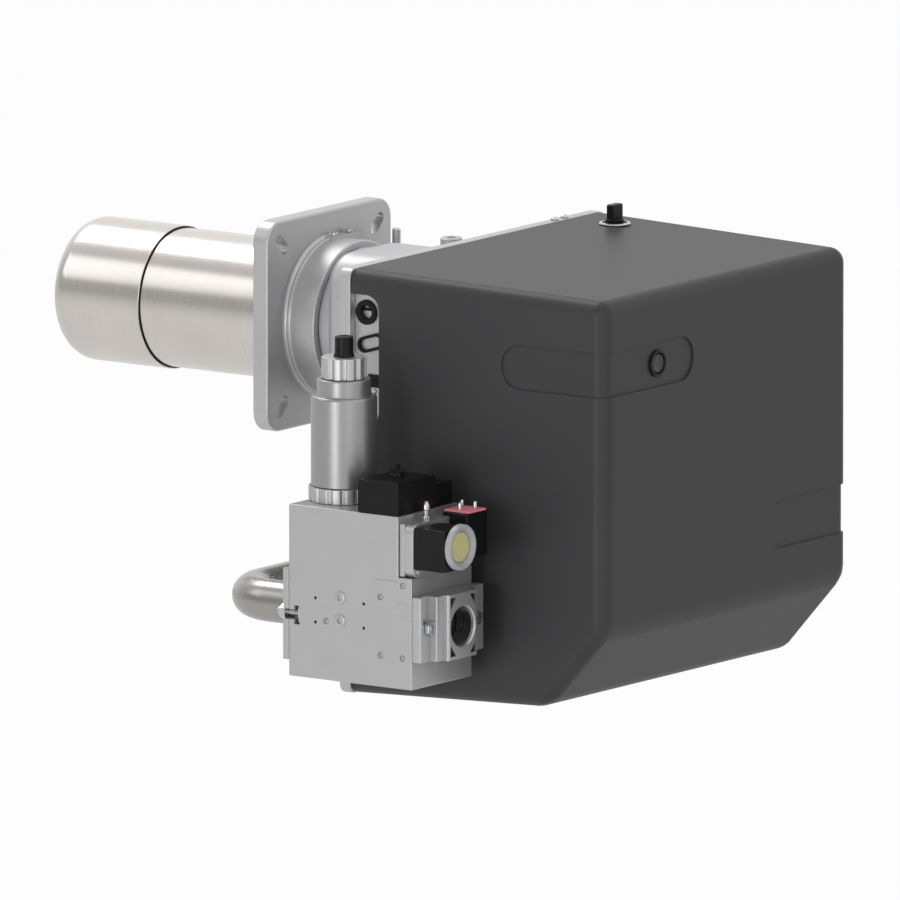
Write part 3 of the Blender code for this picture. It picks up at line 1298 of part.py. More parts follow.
def cable_panel():
    """Angled bracket behind the hood's cut-out, which holds the cable entries."""
    face = panel_face()
    front = PLATE_REAR + GAP
    outline = rounded((front, -PANEL_LOW), (front + PANEL_LENGTH, PANEL_TOP), PANEL_THICK, 2)
    piece = sheet("cable_panel", [outline], "-Y", (face, face + PANEL_THICK))
    foot = box("panel_foot_form", (front, face + BURY, -PANEL_LOW + PANEL_THICK),
               (front + PANEL_THICK, face + PANEL_FOOT, PANEL_TOP - PANEL_THICK))
    gland_room = rod("gland_room_cut", (PLATE_REAR + GLAND_BACK, face - OVERRUN, GLAND_HEIGHT),
                     (PLATE_REAR + GLAND_BACK, face + PANEL_FOOT, GLAND_HEIGHT), bore(GLAND_NECK, MEDIUM),
                     MEDIUM)
    grommet_room = sheet("grommet_room_cut", [grommet_outline(GROMMET_RIM - GAP)], "-Y",
                         (face - OVERRUN, face + PANEL_FOOT))
    fuse(piece, foot)
    cut(piece, gland_room, grommet_room)
    return dress(piece, "cast_aluminium")


def cable_gland():
    """Black ring around the round cable entry."""
    face = panel_face()
    lip = face - GAP
    piece = turned("cable_gland", [
        (GLAND_NECK, face + GLAND_DEPTH), (GLAND_NECK, lip), (GLAND_RADIUS, lip),
        (GLAND_RADIUS, lip - GLAND_PROUD),
        (GLAND_BORE, lip - GLAND_PROUD), (GLAND_BORE, face + GLAND_DEPTH)],
        "Y", (GLAND_HEIGHT, PLATE_REAR + GLAND_BACK), MEDIUM)
    return dress(piece, "black_plastic")


def slot_grommet():
    """Black edge ring around the slanted cable slot."""
    face = panel_face()
    lip = face - GAP
    piece = sheet("slot_grommet", [grommet_outline(0), grommet_outline(GROMMET_RIM + GAP)], "-Y",
                  (lip - GLAND_PROUD, lip))
    neck = sheet("grommet_neck_form",
                 [grommet_outline(GROMMET_RIM), grommet_outline(2 * GROMMET_RIM - PLAY)], "-Y",
                 (lip - BURY / 2, face + PANEL_THICK + GLAND_PROUD))
    fuse(piece, neck)
    return dress(piece, "black_plastic")


def panel_plug():
    """Small black socket below the grommets."""
    face = panel_face()
    x = PLATE_REAR + PLUG_BACK
    near = face - GAP
    piece = box("panel_plug", (x, near - GLAND_PROUD, -PLUG_HEIGHT - PLUG_DROP),
                (x + PLUG_LENGTH, near, -PLUG_HEIGHT))
    return dress(piece, "black_plastic")


def hood_half(along):
    """Half the hood's width at a distance behind its front edge."""
    return HOOD_FRONT_HALF + (HOOD_REAR_HALF - HOOD_FRONT_HALF) * along / HOOD_DEPTH


def hood_surface(name):
    """Open outer surface of the hood: a side profile drawn across, tapered to the rear, with round edges."""
    profile = [(0, PLATE_TOP), (HOOD_DEPTH, HOOD_REAR_TOP), (HOOD_DEPTH, -CHAMFER_HIGH),
               (CHAMFER_START, -CHAMFER_LOW), (0, -PLATE_BOTTOM)]
    shape = bmesh.new()
    side = shape.faces.new([shape.verts.new((HOOD_FRONT + x, -hood_half(x), z)) for x, z in profile])
    grown = bmesh.ops.extrude_face_region(shape, geom=[side])
    for vert in [item for item in grown["geom"] if isinstance(item, bmesh.types.BMVert)]:
        vert.co.y = -vert.co.y
    bmesh.ops.recalc_face_normals(shape, faces=shape.faces)
    middle = HOOD_FRONT + HOOD_DEPTH / 3
    front_faces = [face for face in shape.faces if all(vert.co.x < middle for vert in face.verts)]
    bmesh.ops.delete(shape, geom=front_faces, context="FACES")
    edges = [edge for edge in shape.edges if not edge.is_boundary]
    bmesh.ops.bevel(shape, geom=edges, offset=HOOD_EDGE, offset_type="OFFSET", segments=3, profile=0.5,
                    affect="EDGES", clamp_overlap=True)
    mesh = bpy.data.meshes.new(name)
    shape.to_mesh(mesh)
    shape.free()
    mesh.shade_smooth()
    mesh.set_sharp_from_angle(angle=math.radians(30))
    return placed(name, mesh)


def thicken(thing, inwards, outwards):
    """Give an open surface a wall that reaches inwards and outwards."""
    solid = thing.modifiers.new("Wall", "SOLIDIFY")
    solid.thickness = inwards + outwards
    solid.offset = (outwards - inwards) / (outwards + inwards)
    solid.use_even_offset = True
    solid.use_rim = True
    thing.modifiers.new("Flat faces", "TRIANGULATE")


def band_cut(name, side, low, high, start, end):
    """Cutter for a shallow recess that wraps a rear corner, between two heights."""
    round_end = (high - low) / 2 * 0.98
    beyond = 2 * round_end
    skin = hood_surface(name)
    thicken(skin, BAND_DEPTH, OVERRUN)
    flank = sheet(f"{name}_flank",
                  [rounded((HOOD_FRONT + start, low), (HOOD_REAR + beyond, high), round_end, 8)],
                  "-Y", sorted((side * (HOOD_FRONT_HALF + 2 * OVERRUN), side * HOOD_REAR_HALF * 0.9)))
    reach = sorted((side * (HOOD_FRONT_HALF + beyond), side * end))
    rear = sheet(f"{name}_rear", [rounded((reach[0], low), (reach[1], high), round_end, 8)], "X",
                 (HOOD_REAR - HOOD_DEPTH / 8, HOOD_REAR + 2 * OVERRUN))
    fuse(flank, rear)
    combine(skin, flank, "INTERSECT")
    return skin


def roof_height(x):
    """Height of the hood's roof at a place along X."""
    return PLATE_TOP + (HOOD_REAR_TOP - PLATE_TOP) * (x - HOOD_FRONT) / HOOD_DEPTH


def hood_shell():
    """Moulded hood: two shallow recesses, a window at the cable panel, and intake slots below."""
    hood = hood_surface("hood_shell")
    thicken(hood, HOOD_WALL, 0)
    start = HOOD_DEPTH - BAND_REACH
    button_band = band_cut("button_band_cut", -1, BUTTON_HEIGHT - BUTTON_BAND_DOWN,
                           BUTTON_HEIGHT + BUTTON_BAND_UP, start, BUTTON_SIDE - BUTTON_BAND_REACH)
    rear_band = band_cut("rear_band_cut", 1, -REAR_BAND_TOP - REAR_BAND_HEIGHT, -REAR_BAND_TOP, start,
                         HOOD_REAR_HALF - REAR_BAND_LENGTH)
    window = sheet("window_cut",
                   [rounded((HOOD_FRONT - 2 * WINDOW_DEPTH, -WINDOW_LOW),
                            (HOOD_FRONT + WINDOW_DEPTH, WINDOW_TOP),
                                          WINDOW_CORNER, 4)], "-Y",
                   (-HOOD_FRONT_HALF - OVERRUN, -HOOD_REAR_HALF + OVERRUN))
    latch_hole = rod("latch_cut", (LATCH_X, LATCH_SIDE, PLATE_TOP - 4 * HOOD_WALL),
                     (LATCH_X, LATCH_SIDE, PLATE_TOP + OVERRUN), bore(STEM_RADIUS, COARSE, PLAY))
    reset_hole = rod("reset_cut", (HOOD_REAR - 3 * HOOD_WALL, -BUTTON_SIDE, BUTTON_HEIGHT),
                     (HOOD_REAR + OVERRUN, -BUTTON_SIDE, BUTTON_HEIGHT),
                     bore(BUTTON_RADIUS + PLAY + BEZEL_WALL, MEDIUM), MEDIUM)
    cut(hood, button_band, rear_band, window, latch_hole, reset_hole)
    for i in range(INTAKE_SLOTS):
        y = DAMPER_Y + (i - (INTAKE_SLOTS - 1) / 2) * INTAKE_PITCH
        slot = rounded((FAN_X - INTAKE_LENGTH / 2, y - INTAKE_WIDTH / 2),
                       (FAN_X + INTAKE_LENGTH / 2, y + INTAKE_WIDTH / 2),
                       INTAKE_WIDTH * 0.45, 2)
        cut(hood, sheet(f"intake_cut_{i + 1}", [slot], "Z",
                        (-PLATE_BOTTOM - OVERRUN, -CHAMFER_LOW + 2 * HOOD_WALL)))
    return dress(hood, "hood_grey")


def latch_washer():
    """Chrome washer under the latch knob."""
    base = roof_height(LATCH_X - WASHER_RADIUS) + GAP
    eye = bore(STEM_RADIUS, COARSE, PLAY)
    piece = turned("latch_washer", [
        (WASHER_RADIUS - WASHER_THICK / 2, base + WASHER_THICK), (WASHER_RADIUS, base + WASHER_THICK / 2),
        (WASHER_RADIUS, base), (eye, base), (eye, base + WASHER_THICK)], "Z", (LATCH_X, LATCH_SIDE), MEDIUM)
    return dress(piece, "zinc_steel")


def knob_base():
    """Height of the latch knob's foot."""
    return roof_height(LATCH_X - WASHER_RADIUS) + 2 * GAP + WASHER_THICK


def latch_knob():
    """Quarter-turn knob: a wing on a round foot, and a stem with a cross bar under the tongue."""
    base = knob_base()
    foot = base + KNOB_BASE_HEIGHT
    bar = base - STEM_DROP
    piece = turned("latch_knob", [
        (0, foot), (KNOB_BASE_RADIUS - PLAY, foot), (KNOB_BASE_RADIUS, foot - PLAY),
        (KNOB_BASE_RADIUS, base),
        (STEM_RADIUS, base), (STEM_RADIUS, bar), (0, bar)], "Z", (LATCH_X, LATCH_SIDE), COARSE)
    wing = box("wing_form", (LATCH_X - KNOB_WING_LENGTH / 2, LATCH_SIDE - KNOB_WING_WIDTH / 2, foot - BURY),
               (LATCH_X + KNOB_WING_LENGTH / 2, LATCH_SIDE + KNOB_WING_WIDTH / 2, foot + KNOB_WING_HEIGHT),
               KNOB_WING_WIDTH / 5, 2)
    cross = box("cross_form", (LATCH_X - STEM_BAR_SIZE / 2, LATCH_SIDE - STEM_BAR_LENGTH / 2, bar - BURY),
                (LATCH_X + STEM_BAR_SIZE / 2, LATCH_SIDE + STEM_BAR_LENGTH / 2, bar + STEM_BAR_SIZE))
    fuse(piece, wing, cross)
    return dress(piece, "black_plastic")


def latch_bracket():
    """Tongue on the front plate that the latch's cross bar grips, open towards the rear."""
    under = knob_base() - STEM_DROP + STEM_BAR_SIZE + PLAY
    front = PLATE_REAR + GAP
    half = TONGUE_WIDTH / 2
    rear = LATCH_X + half
    slot = STEM_RADIUS + PLAY
    mouth = [(rear, LATCH_SIDE - half), (rear, LATCH_SIDE - slot)]
    mouth += arc((LATCH_X, LATCH_SIDE), slot, -math.pi / 2, -3 * math.pi / 2, 8)
    mouth += [(rear, LATCH_SIDE + slot), (rear, LATCH_SIDE + half), (front, LATCH_SIDE + half),
              (front, LATCH_SIDE - half)]
    piece = sheet("latch_bracket", [mouth], "Z", (under, under + TONGUE_THICK))
    foot = box("tongue_foot_form", (front, LATCH_SIDE - half + BURY / 10, under - TONGUE_FOOT),
               (front + TONGUE_THICK, LATCH_SIDE + half - BURY / 10, under + TONGUE_THICK / 2))
    fuse(piece, foot)
    return dress(piece, "zinc_steel")


def gas_pipe():
    """Pipe from the valve's outlet flange round two bends and up into the neck."""
    y = -GAS_AXIS_SIDE
    z = -GAS_AXIS_DROP
    start = BLOCK_X - OUTLET_THICK - GAP
    route = bent([(start, y, z), (RUN_X, y, z), (RUN_X, -RISER_SIDE, z),
                  (RUN_X, -RISER_SIDE, riser_top())], PIPE_BEND)
    return dress(tube("gas_pipe", route, PIPE_RADIUS, 6), "stainless_steel")


def bolt_side():
    """Y of the T-bolt, near the block's front face."""
    return -BLOCK_NEAR + BOLT_INSET


def outlet_flange():
    """Square plate between the gas pipe and the valve block, slotted for the T-bolt."""
    front = BLOCK_X - OUTLET_THICK
    outline = rounded((-BLOCK_NEAR, -OUTLET_BOTTOM), (-BLOCK_NEAR + BLOCK_WIDTH, -OUTLET_TOP), BLOCK_EDGE,
                      2)
    piece = sheet("outlet_flange", [outline], "X", (front, BLOCK_X - GAP))
    half = T_SLOT_WIDTH / 2
    slot = box("outlet_slot_cut", (front - OVERRUN, -BLOCK_NEAR - OVERRUN, -GAS_AXIS_DROP - half),
               (BLOCK_X + OVERRUN, -BLOCK_NEAR + T_SLOT_DEPTH, -GAS_AXIS_DROP + half))
    cut(piece, slot)
    return dress(piece, "valve_aluminium")


def outlet_bolt():
    """T-bolt with its nut, which clamps the outlet flange to the block."""
    y = bolt_side()
    z = -GAS_AXIS_DROP
    head_front = BLOCK_X + T_SLOT_NECK + GAP
    head_rear = BLOCK_X + T_SLOT_NECK + T_SLOT_HEAD_LENGTH - GAP
    nut_rear = BLOCK_X - OUTLET_THICK - GAP
    nut_front = nut_rear - NUT_THICK
    shank = rod("outlet_bolt", (nut_front - BOLT_TAIL, y, z), (head_rear - BURY, y, z), BOLT_RADIUS, 12)
    head_half = T_SLOT_HEAD / 2 - PLAY
    head = box("bolt_head_form", (head_front, y - head_half, z - head_half),
               (head_rear, y + head_half, z + head_half))
    nut = rod("bolt_nut_form", (nut_front, y, z), (nut_rear, y, z), NUT_RADIUS, 6)
    fuse(shank, head, nut)
    return dress(shank, "zinc_steel")


def valve_block():
    """Stepped valve body with the T-slot in its front face."""
    far = -BLOCK_NEAR + BLOCK_WIDTH
    piece = box("valve_block", (BLOCK_X, -BLOCK_NEAR, -BLOCK_BOTTOM), (BLOCK_REAR, far, -BLOCK_LEDGE),
                BLOCK_EDGE)
    upper = box("block_upper_form", (BLOCK_X, -BLOCK_NEAR, -BLOCK_LEDGE - 4 * BLOCK_EDGE),
                (BLOCK_X + BLOCK_UPPER_LENGTH, far, -BLOCK_TOP), BLOCK_EDGE)
    fuse(piece, upper)
    neck = T_SLOT_WIDTH / 2
    head = T_SLOT_HEAD / 2
    near = -BLOCK_NEAR - OVERRUN
    deep = -BLOCK_NEAR + T_SLOT_DEPTH
    z = -GAS_AXIS_DROP
    slot = box("slot_neck_cut", (BLOCK_X - OVERRUN, near, z - neck),
               (BLOCK_X + T_SLOT_NECK + BURY, deep, z + neck))
    head_cut = box("slot_head_cut", (BLOCK_X + T_SLOT_NECK, near, z - head),
                   (BLOCK_X + T_SLOT_NECK + T_SLOT_HEAD_LENGTH, deep, z + head))
    cut(piece, slot, head_cut)
    return dress(piece, "valve_aluminium")


def inlet_flange():
    """Threaded inlet: a root plate, a square boss with four corner pockets, and the bore."""
    front = BLOCK_REAR + GAP
    root = front + INLET_ROOT
    face = root + INLET_BOSS
    near = -BLOCK_NEAR
    piece = sheet("inlet_flange",
                  [rounded((near, -INLET_BOTTOM), (near + INLET_REACH_FAR, -INLET_TOP), BLOCK_EDGE, 2)],
                  "X", (front, root))
    boss_low = (near + INLET_BOSS_NEAR, -INLET_BOTTOM + BURY)
    boss_high = (boss_low[0] + INLET_BOSS_SIDE, -INLET_TOP - BURY)
    boss = sheet("inlet_boss_form", [rounded(boss_low, boss_high, BLOCK_EDGE, 2)], "X", (root - BURY, face))
    fuse(piece, boss)
    centre_y = (boss_low[0] + boss_high[0]) / 2
    centre_z = (boss_low[1] + boss_high[1]) / 2 - INLET_DROP / 2
    thread = rod("inlet_bore_cut", (face - INLET_BORE_DEPTH, centre_y, centre_z),
                 (face + OVERRUN, centre_y, centre_z),
                 INLET_BORE, MEDIUM)
    cut(piece, thread)
    half_y = INLET_BOSS_SIDE / 2 - POCKET_INSET
    half_z = (boss_high[1] - boss_low[1]) / 2 - POCKET_INSET
    middle_z = (boss_low[1] + boss_high[1]) / 2
    for i, (side, up) in enumerate(((1, 1), (-1, 1), (-1, -1), (1, -1))):
        corner = (centre_y + side * half_y, middle_z + up * half_z)
        triangle = [corner, (corner[0] - side * POCKET_SIZE * 0.6, corner[1]),
                    (corner[0], corner[1] - up * POCKET_SIZE)]
        cut(piece,
            sheet(f"corner_pocket_cut_{i + 1}", [triangle], "X", (face - POCKET_SINK, face + OVERRUN)))
    return dress(piece, "valve_aluminium")


def inlet_bolts():
    """Two hexagon bolts that hold the inlet flange."""
    base = BLOCK_REAR + GAP + INLET_ROOT + GAP
    for i in range(2):
        y = -BLOCK_NEAR + INLET_BOLT_NEAR + i * INLET_BOLT_SPACING
        z = -GAS_AXIS_DROP
        piece = rod(f"inlet_bolt_{i + 1}", (base, y, z), (base + INLET_BOLT_HEAD, y, z), INLET_BOLT_RADIUS,
                    6)
        dress(piece, "zinc_steel")


def solenoid_base():
    """Fluted ring under the solenoid."""
    piece = sheet("solenoid_base", [lobed(TOWER_RING_RADIUS, FLUTE_DEPTH, TOWER_RING_FLUTES)], "Z",
                  (RING_BASE, RING_BASE + TOWER_RING_HEIGHT), (TOWER_X, TOWER_Y))
    return dress(piece, "valve_aluminium")


def solenoid_housing():
    """Tall round coil housing with its stepped collar and the flow ring's socket."""
    shoulder = TOWER_BASE + TOWER_HEIGHT
    piece = turned("solenoid_housing", [
        (0, TOWER_TOP - SOCKET_DEPTH), (bore(SOCKET_RADIUS), TOWER_TOP - SOCKET_DEPTH),
        (bore(SOCKET_RADIUS), TOWER_TOP),
        (TOWER_COLLAR_RADIUS - TOWER_FILLET / 2, TOWER_TOP),
        (TOWER_COLLAR_RADIUS, TOWER_TOP - TOWER_FILLET / 2),
        (TOWER_COLLAR_RADIUS, shoulder), (TOWER_RADIUS - TOWER_FILLET, shoulder),
        (TOWER_RADIUS, shoulder - TOWER_FILLET),
        (TOWER_RADIUS, TOWER_BASE), (0, TOWER_BASE)], "Z", (TOWER_X, TOWER_Y), FINE)
    return dress(piece, "valve_aluminium")


def flow_ring():
    """Lobed ring that sets the gas flow, with a spigot below and a spindle under the cap."""
    top = FLOW_RING_BASE + FLOW_RING_HEIGHT
    piece = sheet("flow_ring", [lobed(FLOW_RING_RADIUS, LOBE_DEPTH, FLOW_RING_LOBES)], "Z",
                  (FLOW_RING_BASE, top), (TOWER_X, TOWER_Y))
    spigot = rod("ring_spigot_form", (TOWER_X, TOWER_Y, TOWER_TOP - SOCKET_DEPTH + PLAY),
                 (TOWER_X, TOWER_Y, FLOW_RING_BASE + BURY), SOCKET_RADIUS)
    spindle = rod("spindle_form", (TOWER_X, TOWER_Y, top - BURY), (TOWER_X, TOWER_Y, top + SPINDLE_HEIGHT),
                  SPINDLE_RADIUS)
    fuse(piece, spigot, spindle)
    return dress(piece, "valve_aluminium")


def flow_cap():
    """Black cap over the spindle."""
    top = CAP_BASE + CAP_HEIGHT
    inner = CAP_RADIUS - CAP_WALL
    piece = turned("flow_cap", [
        (0, top), (CAP_RADIUS - PLAY, top), (CAP_RADIUS, top - PLAY), (CAP_RADIUS, CAP_BASE + 3 * CAP_FOOT),
        (CAP_RADIUS + CAP_FOOT, CAP_BASE + CAP_FOOT), (CAP_RADIUS + CAP_FOOT, CAP_BASE), (inner, CAP_BASE),
        (inner, top - CAP_WALL), (0, top - CAP_WALL)], "Z", (TOWER_X, TOWER_Y), MEDIUM)
    return dress(piece, "black_plastic")


def coil_plug():
    """Black plug on the block's top, with a lower step and a winged screw."""
    x = BLOCK_X + COIL_PLUG_BACK
    near = -BLOCK_NEAR
    base = -BLOCK_TOP + GAP
    top = base + COIL_PLUG_HEIGHT
    edge = COIL_PLUG_HEIGHT / 16
    piece = box("coil_plug", (x, near, base), (x + COIL_PLUG_LENGTH - GAP, near + COIL_PLUG_WIDTH, top),
                edge)
    step = box("coil_step_form", (x + edge, near + COIL_PLUG_WIDTH - 2 * edge, base + BURY / 10),
               (x + COIL_PLUG_LENGTH - edge, near + COIL_PLUG_WIDTH + COIL_STEP_WIDTH,
                base + COIL_STEP_HEIGHT))
    middle = (x + COIL_PLUG_LENGTH / 2, near + COIL_PLUG_WIDTH / 2)
    screw = rod("coil_screw_form", (*middle, top - BURY), (*middle, top + COIL_SCREW_HEIGHT),
                COIL_SCREW_RADIUS, 12)
    wing = box("coil_wing_form",
               (middle[0] - COIL_SCREW_WING / 2, middle[1] - COIL_SCREW_THICK / 2, top - BURY / 2),
               (middle[0] + COIL_SCREW_WING / 2, middle[1] + COIL_SCREW_THICK / 2,
                top + COIL_SCREW_HEIGHT / 2))
    fuse(piece, step, screw, wing)
    return dress(piece, "black_plastic")


def switch_adapter():
    """Flange block that carries the pressure switch and the connector, on the valve's ledge."""
    outline = rounded((-BLOCK_NEAR, -BLOCK_LEDGE + GAP), (-BLOCK_NEAR + ADAPTER_WIDTH, -ADAPTER_TOP),
                      ADAPTER_CORNER, 4)
    piece = sheet("switch_adapter", [outline], "X", (ADAPTER_X, ADAPTER_X + ADAPTER_LENGTH))
    room = box("connector_room_cut",
               (ADAPTER_X + ADAPTER_LENGTH / 2, CONNECTOR_Y - GAP, -BLOCK_LEDGE - OVERRUN),
               (ADAPTER_X + ADAPTER_LENGTH + OVERRUN, -BLOCK_NEAR + ADAPTER_WIDTH + OVERRUN,
                -ADAPTER_TOP + OVERRUN))
    cut(piece, room)
    return dress(piece, "valve_aluminium")


def pressure_switch():
    """Black body of the gas pressure switch."""
    top = -SWITCH_TOP
    piece = box("pressure_switch", (SWITCH_X, -BLOCK_NEAR, top - SWITCH_HEIGHT),
                (DIAL_X, -BLOCK_NEAR + SWITCH_WIDTH, top), SWITCH_HEIGHT / 16)
    pivot = rod("dial_pivot_cut", (DIAL_X - DIAL_PIVOT - PLAY, -DIAL_SIDE, -DIAL_DROP),
                (DIAL_X + OVERRUN, -DIAL_SIDE, -DIAL_DROP), bore(DIAL_PIVOT))
    cut(piece, pivot)
    return dress(piece, "black_plastic")


def switch_dial():
    """Yellow setting dial on its pivot."""
    base = DIAL_X + GAP
    piece = turned("switch_dial", [
        (0, base + DIAL_THICK), (DIAL_RADIUS - PLAY, base + DIAL_THICK),
        (DIAL_RADIUS, base + DIAL_THICK - PLAY),
        (DIAL_RADIUS, base), (DIAL_PIVOT, base), (DIAL_PIVOT, DIAL_X - DIAL_PIVOT),
        (0, DIAL_X - DIAL_PIVOT)],
        "X", (-DIAL_SIDE, -DIAL_DROP), MEDIUM)
    return dress(piece, "dial_yellow")


def switch_window():
    """Clear round cover over the dial."""
    base = DIAL_X + GAP
    face = base + WINDOW_THICK
    inner = WINDOW_RADIUS - WINDOW_RIM
    piece = turned("switch_window", [
        (0, face), (WINDOW_RADIUS - WINDOW_PANE, face), (WINDOW_RADIUS, face - WINDOW_PANE),
        (WINDOW_RADIUS, base),
        (inner, base), (inner, face - WINDOW_PANE), (0, face - WINDOW_PANE)], "X",
        (-DIAL_SIDE, -DIAL_DROP), FINE)
    return dress(piece, "clear_cover")


def connector_x():
    """Front of the valve connector, in the adapter's recess."""
    return ADAPTER_X + ADAPTER_LENGTH / 2 + GAP


def valve_connector():
    """Black connector housing beside the pressure switch."""
    x = connector_x()
    top = -CONNECTOR_TOP
    length = ADAPTER_LENGTH / 2 + CONNECTOR_LENGTH
    piece = box("valve_connector", (x, CONNECTOR_Y, top - CONNECTOR_HEIGHT),
                (x + length, CONNECTOR_Y + CONNECTOR_WIDTH, top), CONNECTOR_HEIGHT / 20)
    return dress(piece, "black_plastic")


def connector_gasket():
    """Red gasket plate on the connector, with its upright pins."""
    length = ADAPTER_LENGTH / 2 + CONNECTOR_LENGTH
    x = connector_x() + (length - GASKET_LENGTH) / 2
    near = CONNECTOR_Y + CONNECTOR_WIDTH / 2 - GASKET_LENGTH / 2
    base = -CONNECTOR_TOP + GAP
    piece = sheet("connector_gasket",
                  [rounded((x, near), (x + GASKET_LENGTH, near + GASKET_LENGTH), GASKET_OVERHANG, 2)],
                  "Z", (base, base + GASKET_THICK))
    pins = []
    for i in range(CONNECTOR_PINS):
        place = (x + GASKET_LENGTH * (i + 1) / (CONNECTOR_PINS + 1), near + GASKET_LENGTH / 2)
        pins.append(rod(f"connector_pin_form_{i + 1}", (*place, base + BURY / 2),
                        (*place, base + CONNECTOR_PIN_HEIGHT),
                        CONNECTOR_PIN, 8))
    fuse(piece, *pins)
    return dress(piece, "gasket_red")


def test_nipple():
    """Pressure test nipple on top of the adapter."""
    x = ADAPTER_X + ADAPTER_LENGTH / 2
    base = -ADAPTER_TOP + GAP
    top = base + NIPPLE_HEIGHT
    piece = turned("test_nipple", [
        (0, top), (NIPPLE_RADIUS * 0.6, top), (NIPPLE_RADIUS * 0.8, top - NIPPLE_HEIGHT / 4),
        (NIPPLE_RADIUS * 0.6, top - NIPPLE_HEIGHT / 2), (NIPPLE_RADIUS * 0.6, base + NIPPLE_HEIGHT / 3),
        (NIPPLE_RADIUS, base + NIPPLE_HEIGHT / 3), (NIPPLE_RADIUS, base), (0, base)],
        "Z", (x, -BLOCK_NEAR + NIPPLE_INSET), 12)
    return dress(piece, "zinc_steel")


def gather(name, place, pieces):
    """Hang a body's pieces on an empty that stands on the body's joint axis."""
    holder = bpy.data.objects.new(name, None)
    holder.location = place
    PARTS.objects.link(holder)
    bpy.context.view_layer.update()
    for piece in pieces:
        child = bpy.data.objects[piece]
        child.parent = holder
        child.matrix_parent_inverse = holder.matrix_world.inverted()
    return holder


def main():
    """Build every piece, then group the pieces that move."""
    for build in (mounting_flange, blast_tube, flame_nozzle, hinge_pin, collar_screws, head_support,
                  gas_lance,
                  gas_head, baffle_disc):
        build()
    electrode("ignition_electrode", -1, ELECTRODE_BEND, ELECTRODE_BEND)
    electrode("ionisation_probe", 1, ELECTRODE_BEND, ELECTRODE_BEND)
    for build in (neck_casting, gas_manifold, front_plate, plate_screws, fan_volute, volute_cover,
                  fan_impeller,
                  motor_shaft, fan_motor, motor_end_cap, motor_capacitor, air_box, damper_flap,
                  damper_servo,
                  control_box, reset_button, ignition_transformer, air_pressure_switch, cable_panel,
                  cable_gland,
                  slot_grommet, panel_plug, hood_shell, reset_bezel, latch_washer, latch_knob,
                  latch_bracket):
        build()
    for build in (gas_pipe, outlet_flange, outlet_bolt, valve_block, inlet_flange, inlet_bolts,
                  solenoid_base,
                  solenoid_housing, flow_ring, flow_cap, coil_plug, switch_adapter, pressure_switch,
                  switch_dial,
                  switch_window, valve_connector, connector_gasket, test_nipple):
        build()
    moving = {
        "hood": ((HOOD_FRONT, 0, 0), ["hood_shell", "reset_bezel", "latch_washer"]),
        "latch": ((LATCH_X, LATCH_SIDE, PLATE_TOP), ["latch_knob"]),
        "reset": ((CONTROL_REAR, -BUTTON_SIDE, BUTTON_HEIGHT), ["reset_button"]),
        "fan": ((FAN_X, 0, FAN_Z), ["fan_impeller", "motor_shaft"]),
        "damper": ((FAN_X, DAMPER_Y, DAMPER_Z), ["damper_flap"]),
        "flow_setting": ((TOWER_X, TOWER_Y, FLOW_RING_BASE), ["flow_ring"]),
        "cap": ((TOWER_X, TOWER_Y, CAP_BASE), ["flow_cap"]),
        "dial": ((DIAL_X, -DIAL_SIDE, -DIAL_DROP), ["switch_dial"]),
    }
    for name, (place, pieces) in moving.items():
        gather(f"{name}_axis", place, pieces)


main()
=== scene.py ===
"""Looks of an industrial gas burner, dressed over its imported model.

The burner hangs on a boiler by its flange. A stainless tube reaches into the boiler, a hinged neck carries
the plate with the fan, and a moulded hood covers the fan. A gas valve stands beside the hood.
The pieces are drawn in millimetres and brought to metres as they are presented. The studio is in metres.
"""

import sys
import logging
import math
from dataclasses import dataclass
from enum import Enum
from typing import Any, Callable, Sequence

import bpy
from mathutils import Matrix, Vector


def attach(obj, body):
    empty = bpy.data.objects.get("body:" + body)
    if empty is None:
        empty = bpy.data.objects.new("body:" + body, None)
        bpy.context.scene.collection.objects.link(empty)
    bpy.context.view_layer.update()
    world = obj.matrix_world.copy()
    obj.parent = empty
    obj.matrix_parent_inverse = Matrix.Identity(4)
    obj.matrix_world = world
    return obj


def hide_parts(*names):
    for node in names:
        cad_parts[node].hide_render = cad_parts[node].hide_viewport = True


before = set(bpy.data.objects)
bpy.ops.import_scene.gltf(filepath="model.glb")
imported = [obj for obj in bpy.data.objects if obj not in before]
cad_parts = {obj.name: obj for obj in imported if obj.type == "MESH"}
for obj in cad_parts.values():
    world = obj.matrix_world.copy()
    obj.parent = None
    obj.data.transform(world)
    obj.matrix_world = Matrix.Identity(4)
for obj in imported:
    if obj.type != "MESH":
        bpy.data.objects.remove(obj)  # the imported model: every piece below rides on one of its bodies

Piece = bpy.types.Object
Flat = tuple[float, float]
Point = tuple[float, float, float]
Test = Callable[[Vector, Vector], bool]

MM = 0.001  # metres in a millimetre
GAP = 0.3  # millimetres of air between pieces that would touch

log = logging.getLogger("burner")


class Axis(Enum):
    """A main axis, with the order of places (along, across, up) that outlines on it use."""

    X = (0, 1, 2)
    Y = (1, 0, 2)
    Z = (2, 0, 1)

    def place(self, along: float, across: float, up: float) -> Vector:
        """The point that lies so far along the axis, across it and up from it.

        Args:
            along: how far along.
            across: how far across.
            up: how far up.

        Returns:
            The point.
        """
        point = [0.0, 0.0, 0.0]
        for index, value in zip(self.value, (along, across, up)):
            point[index] = value
        return Vector(point)


# ---------------------------------------------------------------- bench tools


def release() -> None:
    """Leaves edit mode and lets go of everything."""
    if bpy.context.object and bpy.context.object.mode != "OBJECT":
        bpy.ops.object.mode_set(mode="OBJECT")
    bpy.ops.object.select_all(action="DESELECT")


def pick(*things: Piece) -> None:
    """Takes hold of these pieces alone, the first as the active one.

    Args:
        things: the pieces.
    """
    release()
    for thing in things:
        thing.select_set(True)
    bpy.context.view_layer.objects.active = things[0]


